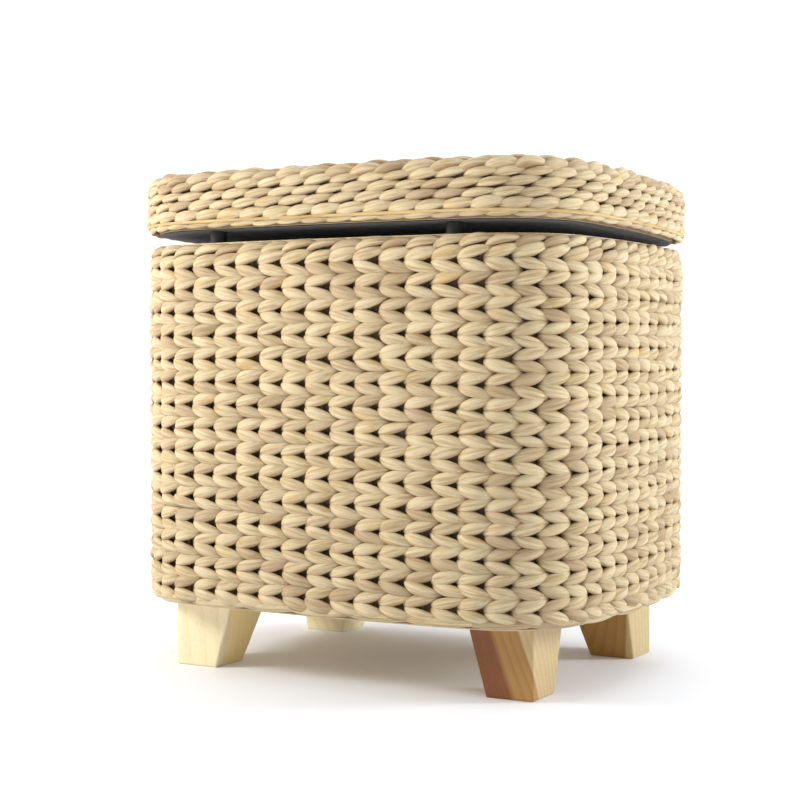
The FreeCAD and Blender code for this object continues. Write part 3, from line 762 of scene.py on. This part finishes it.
def cotton_bag():
    """The bag as one sheet, with its threads measured along the cloth."""
    rings = bag_rings()
    wide = len(bag_walk)
    verts = np.concatenate(rings + [np.array([[0.0, 0.0, BAG_FLOOR]])]) * 0.001
    last = (len(rings) - 1) * wide
    faces = face_inwards(between_rings(len(rings), wide))
    faces += [(last + k, len(verts) - 1, last + (k + 1) % wide) for k in range(wide)]
    steps = [float(np.abs(lower - upper).max()) for upper, lower in zip(rings, rings[1:])]
    thread = np.zeros((len(verts), 3), np.float32)
    thread[:-1, 0] = np.tile(np.abs(bag_walk - body_line["length"] / 2) * 0.83, len(rings))
    thread[:-1, 1] = np.repeat(np.cumsum([0.0] + steps), wide)
    on_floor = verts[:, 2] < 0.001 * BAG_FLOOR + 0.0003
    thread[on_floor, :2] = 1000 * verts[on_floor, :2]
    piece = plain_object("storage_bag", verts, faces)
    carry(piece, "thread", thread, "FLOAT_VECTOR")
    print("bag points:", len(verts))
    return piece


bag = cotton_bag()

# %% [markdown]
# A dark cloth is stretched under the lid and hides its board. It is drawn tight from edge
# to edge, so it stays nearly flat and only ripples a little where it is fastened.

# %% The lid's lining
LINING_INSET = 10.2


def stretched_cloth():
    """The dark cloth under the lid, drawn tight, with a faint ripple near its edge."""
    count = 200
    walk = lid_line["length"] * np.arange(count) / count
    edge, _ = on_line(lid_line, walk, LINING_INSET)
    rings = []
    for share in (1.0, 0.985, 0.96, 0.92, 0.86, 0.78, 0.66, 0.5, 0.34, 0.18):
        ripple = 0.12 * np.sin(46 * 2 * np.pi * walk / lid_line["length"]) * max(0.0, share - 0.8) * 5
        rings.append(np.c_[edge * share, LID_LOW + 0.35 + ripple - 0.25 * (1 - share)])
    points = np.concatenate(rings + [np.array([[0.0, 0.0, LID_LOW + 0.1]])])
    last = (len(rings) - 1) * count
    faces = face_inwards(between_rings(len(rings), count))
    faces += [(last + k, len(points) - 1, last + (k + 1) % count) for k in range(count)]
    piece = plain_object("lid_cloth", points * 0.001, faces)
    carry(piece, "thread", points, "FLOAT_VECTOR")
    return piece


lining = stretched_cloth()
print("lining points:", len(lining.data.vertices))

# %% [markdown]
# A slab of foam lies hidden in the lid and makes it soft to sit on. It is never seen from
# outside, so it has only its crowned top and its drawn-in sides.

# %% The foam slab
FOAM_LOW = 321.7
FOAM_HIGH = 343.9


def foam_slab():
    """A foam slab, crowned on top and drawn in at its sides."""
    inset = lid_line["points"][:, 0].max() - 1000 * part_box("seat_foam")[1][0] + 1.5
    count = 180
    walk = lid_line["length"] * np.arange(count) / count
    rows = []
    for turn in np.linspace(-90, 90, 13):
        bulge = 2.2 * (1 - math.cos(math.radians(turn)))
        side_pull = 1.0 * math.sin(math.radians(abs(turn)) * 2)
        edge, _ = on_line(lid_line, walk, inset + bulge + side_pull)
        half_height = (FOAM_HIGH - FOAM_LOW - 1.2) / 2
        level = (FOAM_LOW + FOAM_HIGH) / 2 - 0.6 + half_height * math.sin(math.radians(turn))
        rows.append(np.c_[edge, np.full(count, level)])
    under = [rows[0] * [share, share, 1] for share in (0.3, 0.6, 0.85)]
    over = []
    for share in (0.93, 0.8, 0.6, 0.4, 0.2):
        ring = rows[-1] * [share, share, 1]
        ring[:, 2] += 0.6 * math.cos(share * math.pi / 2)
        over.append(ring)
    rings = under + rows + over
    points = np.concatenate(rings + [np.array([[0, 0, FOAM_LOW], [0, 0, FOAM_HIGH]])])
    faces = between_rings(len(rings), count)
    last = (len(rings) - 1) * count
    for k in range(count):
        after = (k + 1) % count
        faces.append((k, len(points) - 2, after))
        faces.append((last + k, last + after, len(points) - 1))
    return plain_object("seat_pad", points * 0.001, faces)


foam = foam_slab()
print("foam, mm high:", round(FOAM_HIGH - FOAM_LOW, 1))

# %% [markdown]
# ## Finishes
#
# Effects that several finishes share are built once as node groups with named inputs and
# outputs. Each finish then sets them to its own scale and colours.

# %% Helpers for groups and finishes
def group(name, inputs, outputs):
    """An empty node group, its given sockets by name, and the node that takes its results."""
    made = bpy.data.node_groups.new(name, "ShaderNodeTree")
    for title, kind, value in inputs:
        socket = made.interface.new_socket(name=title, in_out="INPUT", socket_type=kind)
        if value is not None:
            socket.default_value = value
    for title, kind in outputs:
        made.interface.new_socket(name=title, in_out="OUTPUT", socket_type=kind)
    return made, made.nodes.new("NodeGroupInput").outputs, made.nodes.new("NodeGroupOutput")


def mix(tree, share, first, second):
    """The colour that lies between two colours."""
    links = {0: share, 6: first, 7: second}
    return node(tree, "ShaderNodeMix", links, data_type="RGBA").outputs[2]


def between(tree, value, low, high, to_low=0.0, to_high=1.0):
    """Maps low..high to to_low..to_high, smoothly, and holds it there outside."""
    links = {"Value": value, "From Min": low, "From Max": high, "To Min": to_low, "To Max": to_high}
    return node(tree, "ShaderNodeMapRange", links, interpolation_type="SMOOTHSTEP").outputs["Result"]


def maths(tree, operation, first, second=0.0):
    """One sum on two values."""
    return node(tree, "ShaderNodeMath", {0: first, 1: second}, operation=operation).outputs[0]


def stretched(tree, vector, scale):
    """The vector scaled by a different amount along each axis."""
    return node(tree, "ShaderNodeVectorMath", {0: vector, 1: scale}, operation="MULTIPLY").outputs[0]


def noise(tree, place, scale, detail=3.0, rough=0.55, twist=0.0):
    """Soft noise from 0 to 1, with its own scale along each axis."""
    links = {"Vector": stretched(tree, place, scale), "Scale": 1.0}
    links.update({"Detail": detail, "Roughness": rough, "Distortion": twist})
    return node(tree, "ShaderNodeTexNoise", links).outputs["Fac"]


def attribute(tree, name, output):
    """A value that travels with the points of the mesh."""
    return node(tree, "ShaderNodeAttribute", attribute_name=name).outputs[output]


def bump(tree, shader, height, distance, strength=1.0):
    """Fine relief on the shader's normal, distance in metres."""
    links = {"Height": height, "Distance": distance, "Strength": strength}
    wire(tree, shader, {"Normal": node(tree, "ShaderNodeBump", links).outputs["Normal"]})


# %% [markdown]
# A dried leaf is pale cream with fine lengthwise lines, and here and there a golden or
# brownish patch. A pattern laid through space would cut straight across the strands. So the
# group reads the place along and around the leaf, and its lines run with every strand.
# It also paints shade: the leaf turns brown towards its tucked-in ends and the edges that press on
# the next leaf.

# %% Group: dried leaf
def dried_leaf():
    """Colour, lines and gloss of a leaf from its grain, its tone and its painted shade near hidden
    ends and edges.
    """
    tree, given, out = group(
        "dried_leaf",
        [
            ("Grain", "NodeSocketVector", None),
            ("Tone", "NodeSocketFloat", 0.5),
            ("Tip", "NodeSocketFloat", 0.0),
            ("Pale", "NodeSocketColor", (0.9, 0.8, 0.6, 1)),
            ("Tan", "NodeSocketColor", (0.6, 0.45, 0.25, 1)),
            ("Golden", "NodeSocketColor", (0.7, 0.48, 0.16, 1)),
            ("Brown", "NodeSocketColor", (0.35, 0.2, 0.1, 1)),
        ],
        [("Colour", "NodeSocketColor"), ("Lines", "NodeSocketFloat"), ("Gloss", "NodeSocketFloat")],
    )
    grain = given["Grain"]
    fine = noise(tree, grain, (0.05, 1.6, 1.6), 4.0, 0.6)
    broad = noise(tree, grain, (0.03, 0.45, 0.45), 2.0)
    patch = noise(tree, grain, (0.09, 0.14, 0.14), 2.0, 0.5, 0.4)
    speck = noise(tree, grain, (0.5, 2.2, 2.2), 1.0)
    lines = between(tree, fine, 0.36, 0.66)
    colour = mix(tree, between(tree, broad, 0.4, 0.72), given["Pale"], given["Tan"])
    colour = mix(tree, maths(tree, "MULTIPLY", lines, 0.26), colour, given["Tan"])
    patchy = between(tree, patch, 0.5, 0.74, 0.0, 0.6)
    warm = maths(tree, "MULTIPLY", patchy, between(tree, given["Tone"], 0.42, 0.85))
    colour = mix(tree, warm, colour, given["Golden"])
    dull = maths(tree, "MULTIPLY", between(tree, given["Tone"], 0.45, 0.1), 0.42)
    colour = mix(tree, dull, colour, given["Brown"])
    specks = maths(tree, "MULTIPLY", between(tree, speck, 0.72, 0.8), 0.35)
    colour = mix(tree, specks, colour, given["Brown"])
    # painted shade: the leaf turns brown towards its hidden ends and pressed edges
    tuck_shade_share = maths(tree, "MULTIPLY", between(tree, given["Tip"], 0.25, 0.9), 0.72)
    wire(tree, out, {
        "Colour": mix(tree, tuck_shade_share, colour, given["Brown"]),
        "Lines": maths(tree, "ADD", lines, maths(tree, "MULTIPLY", broad, 0.8)),
        "Gloss": between(tree, fine, 0.3, 0.7, 0.5, 0.72),
    })
    return tree


# %% Two finishes of leaf
leaf_group = dried_leaf()


def leaf_finish(name, pale, tan, golden, brown):
    """A finish for dried leaves."""
    made, tree, shader = new_finish(name)
    leaf = node(tree, "ShaderNodeGroup", node_tree=leaf_group)
    wire(tree, leaf, {
        "Grain": attribute(tree, "grain", "Vector"),
        "Tone": attribute(tree, "tone", "Fac"),
        "Tip": attribute(tree, "tuck_shade", "Fac"),
        "Pale": (*pale, 1.0),
        "Tan": (*tan, 1.0),
        "Golden": (*golden, 1.0),
        "Brown": (*brown, 1.0),
    })
    wire(tree, shader, {
        "Base Color": leaf.outputs["Colour"],
        "Roughness": leaf.outputs["Gloss"],
        "Specular IOR Level": 0.42,
    })
    bump(tree, shader, leaf.outputs["Lines"], 0.00022, 0.8)
    return made


straw = leaf_finish(
    "plaited_leaf",
    pale=(0.66, 0.54, 0.335),
    tan=(0.43, 0.305, 0.15),
    golden=(0.6, 0.39, 0.12),
    brown=(0.28, 0.16, 0.075),
)
bound_straw = leaf_finish(
    "golden_leaf",
    pale=(0.62, 0.45, 0.21),
    tan=(0.46, 0.3, 0.11),
    golden=(0.6, 0.38, 0.1),
    brown=(0.28, 0.16, 0.07),
)
print("leaf finishes made:", straw.name, bound_straw.name)

# %% [markdown]
# The stakes are the same plant as the leaves. They and the dark walls lie in the dark, so
# their dark brown is painted shade. They have no leaves of their own, so some upright noise
# laid through space is enough.

# %% Finish of painted shade for the walls and stakes
painted_shade, tree, shader = new_finish("painted_shade_brown")
place = node(tree, "ShaderNodeTexCoord").outputs["Object"]
threads = noise(tree, place, (900.0, 900.0, 90.0))
# painted shade: a dark brown that gives the gaps of the plait their dark
shade_colour = mix(tree, threads, (0.16, 0.1, 0.05, 1), (0.42, 0.28, 0.155, 1))
wire(tree, shader, {"Base Color": shade_colour, "Roughness": 0.9})
bump(tree, shader, threads, 0.0004)
print("backing finish made")

# %% [markdown]
# Wood is cut from a trunk of nested rings. The group measures how far a point is from
# the middle of such a trunk, so the same rings show as long lines on one face and arches on
# another, with fine pores along the grain and a darker heart near the middle. A flat
# pattern wrapped round the wood would break at every edge; this one runs through it.

# %% Group: sawn wood
def sawn_wood():
    """Colour, pores and gloss of wood at a place measured from the trunk's middle line."""
    tree, given, out = group(
        "sawn_wood",
        [
            ("Place", "NodeSocketVector", None),
            ("Ring width", "NodeSocketFloat", 0.004),
            ("Heart reach", "NodeSocketFloat", 0.02),
            ("Heart edge", "NodeSocketFloat", 0.004),
            ("Outer reach", "NodeSocketFloat", 1.0),
            ("Figure", "NodeSocketFloat", 0.5),
            ("Outer", "NodeSocketColor", (0.9, 0.8, 0.6, 1)),
            ("Sapwood", "NodeSocketColor", (0.8, 0.62, 0.35, 1)),
            ("Ring", "NodeSocketColor", (0.6, 0.38, 0.16, 1)),
            ("Heartwood", "NodeSocketColor", (0.3, 0.12, 0.05, 1)),
        ],
        [("Colour", "NodeSocketColor"), ("Pores", "NodeSocketFloat"), ("Gloss", "NodeSocketFloat")],
    )
    place = given["Place"]
    sway = maths(tree, "SUBTRACT", noise(tree, place, (14.0, 14.0, 5.0), 2.0), 0.5)
    flat_place = stretched(tree, place, (1.0, 1.0, 0.08))
    reach = node(tree, "ShaderNodeVectorMath", {0: flat_place}, operation="LENGTH").outputs["Value"]
    reach = maths(tree, "ADD", reach, maths(tree, "MULTIPLY", sway, 0.011))
    ring = maths(tree, "FRACT", maths(tree, "DIVIDE", reach, given["Ring width"]))
    late = between(tree, ring, 0.35, 0.95)
    fibre = noise(tree, place, (1500.0, 1500.0, 60.0), 4.0, 0.6)
    outer_far = maths(tree, "ADD", given["Outer reach"], given["Heart edge"])
    outer = between(tree, reach, given["Outer reach"], outer_far)
    colour = mix(tree, outer, given["Sapwood"], given["Outer"])
    figure = maths(tree, "MULTIPLY", late, given["Figure"])
    figure = maths(tree, "MULTIPLY", figure, between(tree, outer, 0.0, 1.0, 1.0, 0.45))
    colour = mix(tree, figure, colour, given["Ring"])
    streak = maths(tree, "MULTIPLY", between(tree, fibre, 0.45, 0.75), 0.22)
    colour = mix(tree, streak, colour, given["Ring"])
    heart_far = maths(tree, "ADD", given["Heart reach"], given["Heart edge"])
    heart = between(tree, reach, heart_far, given["Heart reach"])
    heart = maths(tree, "MULTIPLY", heart, between(tree, fibre, 0.2, 0.6, 0.78, 1.0))
    colour = mix(tree, heart, colour, given["Heartwood"])
    pores = between(tree, noise(tree, place, (2600.0, 2600.0, 170.0), 1.0), 0.66, 0.74)
    wire(tree, out, {
        "Colour": mix(tree, maths(tree, "MULTIPLY", pores, 0.3), colour, given["Heartwood"]),
        "Pores": maths(tree, "SUBTRACT", maths(tree, "MULTIPLY", late, 0.3), pores),
        "Gloss": between(tree, fibre, 0.3, 0.7, 0.36, 0.52),
    })
    return tree


# %% Helpers: a wood finish, and dressing a piece
wood_group = sawn_wood()


def wood_finish(name, colours, centre, turn, ring_width=0.004, heart_reach=0.0,
                outer_reach=1.0, edge=0.004, figure=0.5, coat=0.0):
    """A wood finish: centre is a point on the trunk's middle line, turn that line's lean."""
    made, tree, shader = new_finish(name)
    place = node(tree, "ShaderNodeTexCoord").outputs["Object"]
    lean = [math.radians(angle) for angle in turn]
    links = {"Vector": place, "Location": centre, "Rotation": lean}
    moved = node(tree, "ShaderNodeMapping", links, vector_type="TEXTURE")
    wood = node(tree, "ShaderNodeGroup", node_tree=wood_group)
    for title, value in zip(("Heartwood", "Sapwood", "Ring", "Outer"), colours):
        wood.inputs[title].default_value = (*value, 1.0)
    wire(tree, wood, {
        "Place": moved.outputs["Vector"],
        "Ring width": ring_width,
        "Heart reach": heart_reach,
        "Heart edge": edge,
        "Outer reach": outer_reach,
        "Figure": figure,
    })
    wire(tree, shader, {
        "Base Color": wood.outputs["Colour"],
        "Roughness": wood.outputs["Gloss"],
        "Coat Weight": coat,
        "Coat Roughness": 0.25,
    })
    bump(tree, shader, wood.outputs["Pores"], 0.00012, 0.6)
    return made


def dress(names, material):
    """Gives CAD pieces their finish."""
    for name in names:
        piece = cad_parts[name]
        piece.data.materials.clear()
        piece.data.materials.append(material)


# %% [markdown]
# The feet come from different boards. The front right one was cut across the heart of
# the tree, so a red-brown streak runs slantwise through its front; the others are paler.
# On the left foot and the two right feet the outer colour covers the right-hand faces and is
# matched to how the light shows them: partly the wood's own colour, partly painted light and shade.

# %% Finishes of the feet
HEART = (0.2, 0.058, 0.005)
GOLDEN = (0.4, 0.215, 0.05)
GOLDEN_RING = (0.3, 0.135, 0.03)
CREAM = (0.56, 0.42, 0.2)
PALE = (0.86, 0.75, 0.48)
PALE_RING = (0.74, 0.58, 0.3)
# painted light and shade: a more golden, brighter colour for the left foot's right-hand face, which
# the lamps leave too dim
PAINTED_SIDE_HONEY = (0.96, 0.76, 0.36)

pale_foot = wood_finish(
    "foot_wood_pale", (HEART, PALE, PALE_RING, PAINTED_SIDE_HONEY), (-0.3, -0.4, 0.0), (4, 3, 0),
    ring_width=0.007, outer_reach=0.357, edge=0.003, figure=0.28, coat=0.08,
)
# on the two right feet the cream outer colour lies on the right-hand face, which the light from the
# right brightens: partly the wood's own colour, partly painted light
heart_foot = wood_finish(
    "foot_wood_heart", (HEART, GOLDEN, GOLDEN_RING, CREAM), (0.0649, -0.17, 0.0296), (0, -20, 0),
    ring_width=0.0043, heart_reach=0.0792, outer_reach=0.0935, edge=0.0025, coat=0.05,
)
plain_foot = wood_finish(
    "foot_wood_plain", (HEART, PALE, PALE_RING, CREAM), (-0.3, 0.3, 0.0), (5, -6, 0),
    ring_width=0.006, figure=0.35, coat=0.1,
)
golden_foot = wood_finish(
    "foot_wood_golden", (HEART, GOLDEN, GOLDEN_RING, CREAM), (0.07, -0.003, 0.02), (0, -6, 0),
    ring_width=0.005, heart_reach=0.0655, outer_reach=0.0985, edge=0.0025, coat=0.05,
)
dress(["foot_front_left"], pale_foot)
dress(["foot_front_right"], heart_foot)
dress(["foot_rear_left"], plain_foot)
dress(["foot_rear_right"], golden_foot)
print("feet finished")

# %% [markdown]
# The hidden frame is plain carpentry: birch plywood for the two boards, and pine battens
# for the rings and the corner posts. The same group makes both, from wider or finer rings.

# %% Finishes of the hidden frame
PLY_HEART = (0.3, 0.16, 0.07)
PLY = (0.72, 0.56, 0.35)
PLY_RING = (0.6, 0.42, 0.23)
PINE_HEART = (0.3, 0.15, 0.06)
PINE = (0.74, 0.55, 0.3)
PINE_RING = (0.58, 0.36, 0.15)

plywood = wood_finish(
    "birch_plywood", (PLY_HEART, PLY, PLY_RING, CREAM), (0.0, 0.9, 0.3), (90, 0, 12),
    ring_width=0.011,
)
batten = wood_finish(
    "pine_batten", (PINE_HEART, PINE, PINE_RING, CREAM), (0.3, 0.4, 0.0), (0, 5, 0),
    ring_width=0.0035,
)
posts = [f"corner_post_{end}_{side}" for end in ("front", "rear") for side in ("left", "right")]
dress(["base_board", "lid_board"], plywood)
dress(["top_ring", "lid_ring"] + posts, batten)
print("frame finished, posts:", len(posts))

# %% [markdown]
# Plain-woven cloth shows threads going over and under each other. They are under a
# millimetre apart, too fine to model one by one, so they are shading with a little relief.
# The group reads the cloth's own measure, so the weave is the same size everywhere.

# %% Group: plain weave
def plain_weave():
    """Colour and height of woven threads, from a place measured along the cloth."""
    tree, given, out = group(
        "plain_weave",
        [
            ("Thread", "NodeSocketVector", None),
            ("Pitch", "NodeSocketFloat", 0.8),
            ("Light", "NodeSocketColor", (0.8, 0.76, 0.68, 1)),
            ("Dark", "NodeSocketColor", (0.6, 0.55, 0.46, 1)),
        ],
        [("Colour", "NodeSocketColor"), ("Height", "NodeSocketFloat")],
    )
    thread = given["Thread"]
    links = {0: thread, "Scale": maths(tree, "DIVIDE", math.pi, given["Pitch"])}
    scaled = node(tree, "ShaderNodeVectorMath", links, operation="SCALE").outputs[0]
    parts = node(tree, "ShaderNodeSeparateXYZ", {0: scaled}).outputs
    warp = maths(tree, "SINE", parts["X"])
    weft = maths(tree, "SINE", parts["Y"])
    over = maths(tree, "ABSOLUTE", maths(tree, "MULTIPLY", warp, weft))
    slub = noise(tree, thread, (0.25, 1.4, 1.0))
    height = maths(tree, "ADD", over, maths(tree, "MULTIPLY", slub, 0.8))
    colour = mix(tree, between(tree, height, 0.1, 1.4), given["Dark"], given["Light"])
    wire(tree, out, {"Colour": colour, "Height": height})
    return tree


# %% Two finishes of cloth
cloth_group = plain_weave()


def cloth_finish(name, light, dark, pitch, relief):
    """A finish of plain-woven cloth with threads this far apart, in millimetres."""
    made, tree, shader = new_finish(name)
    cloth = node(tree, "ShaderNodeGroup", node_tree=cloth_group)
    wire(tree, cloth, {
        "Thread": attribute(tree, "thread", "Vector"),
        "Pitch": pitch,
        "Light": (*light, 1.0),
        "Dark": (*dark, 1.0),
    })
    wire(tree, shader, {
        "Base Color": cloth.outputs["Colour"],
        "Roughness": 0.85,
        "Sheen Weight": 0.25,
    })
    bump(tree, shader, cloth.outputs["Height"], relief, 0.7)
    return made


cotton = cloth_finish("unbleached_cotton", (0.86, 0.81, 0.7), (0.66, 0.59, 0.46), 0.9, 0.0003)
charcoal = cloth_finish("charcoal_cloth", (0.03, 0.033, 0.033), (0.01, 0.012, 0.012), 0.7, 0.0002)
print("cloth finishes made:", cotton.name, charcoal.name)

# %% [markdown]
# The hinges are bright zinc with fine brushed lines and a little dulling, and the screws
# and staples are a slightly warmer steel. One group serves both, with two pairs of colours.

# %% Group: worn metal
def worn_metal():
    """Colour, gloss and brushed lines of bare metal."""
    tree, given, out = group(
        "worn_metal",
        [
            ("Place", "NodeSocketVector", None),
            ("Bright", "NodeSocketColor", (0.7, 0.7, 0.7, 1)),
            ("Dull", "NodeSocketColor", (0.4, 0.4, 0.4, 1)),
        ],
        [("Colour", "NodeSocketColor"), ("Gloss", "NodeSocketFloat"), ("Brushed", "NodeSocketFloat")],
    )
    place = given["Place"]
    cloud = noise(tree, place, (130.0, 130.0, 130.0))
    wire(tree, out, {
        "Colour": mix(tree, between(tree, cloud, 0.35, 0.7), given["Bright"], given["Dull"]),
        "Gloss": between(tree, cloud, 0.3, 0.7, 0.24, 0.5),
        "Brushed": noise(tree, place, (120.0, 4000.0, 4000.0), 2.0),
    })
    return tree


# %% Finishes of the fittings
metal_group = worn_metal()


def metal_finish(name, bright, dull):
    """A finish of bare metal."""
    made, tree, shader = new_finish(name)
    metal = node(tree, "ShaderNodeGroup", node_tree=metal_group)
    place = node(tree, "ShaderNodeTexCoord").outputs["Object"]
    wire(tree, metal, {"Place": place, "Bright": (*bright, 1.0), "Dull": (*dull, 1.0)})
    wire(tree, shader, {
        "Base Color": metal.outputs["Colour"],
        "Roughness": metal.outputs["Gloss"],
        "Metallic": 1.0,
    })
    bump(tree, shader, metal.outputs["Brushed"], 0.00003, 0.5)
    return made


zinc = metal_finish("zinc_plated_steel", (0.5, 0.51, 0.52), (0.34, 0.34, 0.335))
screw_steel = metal_finish("screw_steel", (0.66, 0.64, 0.6), (0.42, 0.4, 0.37))
for side in ("left", "right"):
    dress([f"hinge_body_leaf_{side}", f"hinge_lid_leaf_{side}", f"hinge_pin_{side}"], zinc)
dress(["foot_screws", "post_screws_lower", "post_screws_upper", "liner_staples"], screw_steel)
dress(["hinge_body_screws", "lid_ring_screws", "hinge_lid_screws"], screw_steel)
print("metal finishes made:", zinc.name, screw_steel.name)

# %% [markdown]
# Foam is yellowish with open cells, and the two stops are dark rubber with a dusty bloom.
# Both are made of small round cells, only of a different size, so they share one helper.

# %% Finishes of foam and rubber
def spotted_finish(name, light, dark, scale, roughness, relief):
    """A finish of small cells or grains."""
    made, tree, shader = new_finish(name)
    place = node(tree, "ShaderNodeTexCoord").outputs["Object"]
    cells = node(tree, "ShaderNodeTexVoronoi", {"Vector": place, "Scale": scale}).outputs["Distance"]
    colour = mix(tree, cells, (*dark, 1.0), (*light, 1.0))
    wire(tree, shader, {"Base Color": colour, "Roughness": roughness})
    bump(tree, shader, cells, relief, 0.6)
    return made


foam_finish = spotted_finish("open_foam", (0.85, 0.8, 0.6), (0.6, 0.52, 0.33), 900.0, 0.95, 0.0004)
rubber = spotted_finish("stop_rubber", (0.016,) * 3, (0.006,) * 3, 1500.0, 0.7, 0.0001)
dress(["lid_bumpers"], rubber)
print("foam and rubber finishes made")

# %% [markdown]
# ## Putting it together
#
# Each piece gets its finish and rides on the body that carries it. The woven
# pieces stand for the two plain woven solids of the CAD model; the bag, the cloth and the
# pad stand for theirs. Pieces of the lid are tipped to their resting place first.

# %% Finish, ride and replace
def settle(piece, material, body, stands_for, tipped=False):
    """Finishes one piece and hands it to the frame."""
    piece.data.materials.clear()
    piece.data.materials.append(material)
    if tipped:
        piece.data.transform(to_rest)
    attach(piece, body)
    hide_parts(stands_for)


for piece in body_weave:
    settle(piece, straw, "base", "woven_body")
for piece in (body_shade_wall, body_stakes):
    settle(piece, painted_shade, "base", "woven_body")
for piece in (lid_side, lid_edge, lid_top_outer, lid_top_inner):
    settle(piece, straw, "lid", "woven_lid", tipped=True)
settle(lid_binding, bound_straw, "lid", "woven_lid", tipped=True)
for piece in (lid_shade_wall, lid_shade_panel):
    settle(piece, painted_shade, "lid", "woven_lid", tipped=True)
settle(bag, cotton, "base", "liner")
settle(lining, charcoal, "lid", "lid_lining", tipped=True)
settle(foam, foam_finish, "lid", "seat_foam", tipped=True)
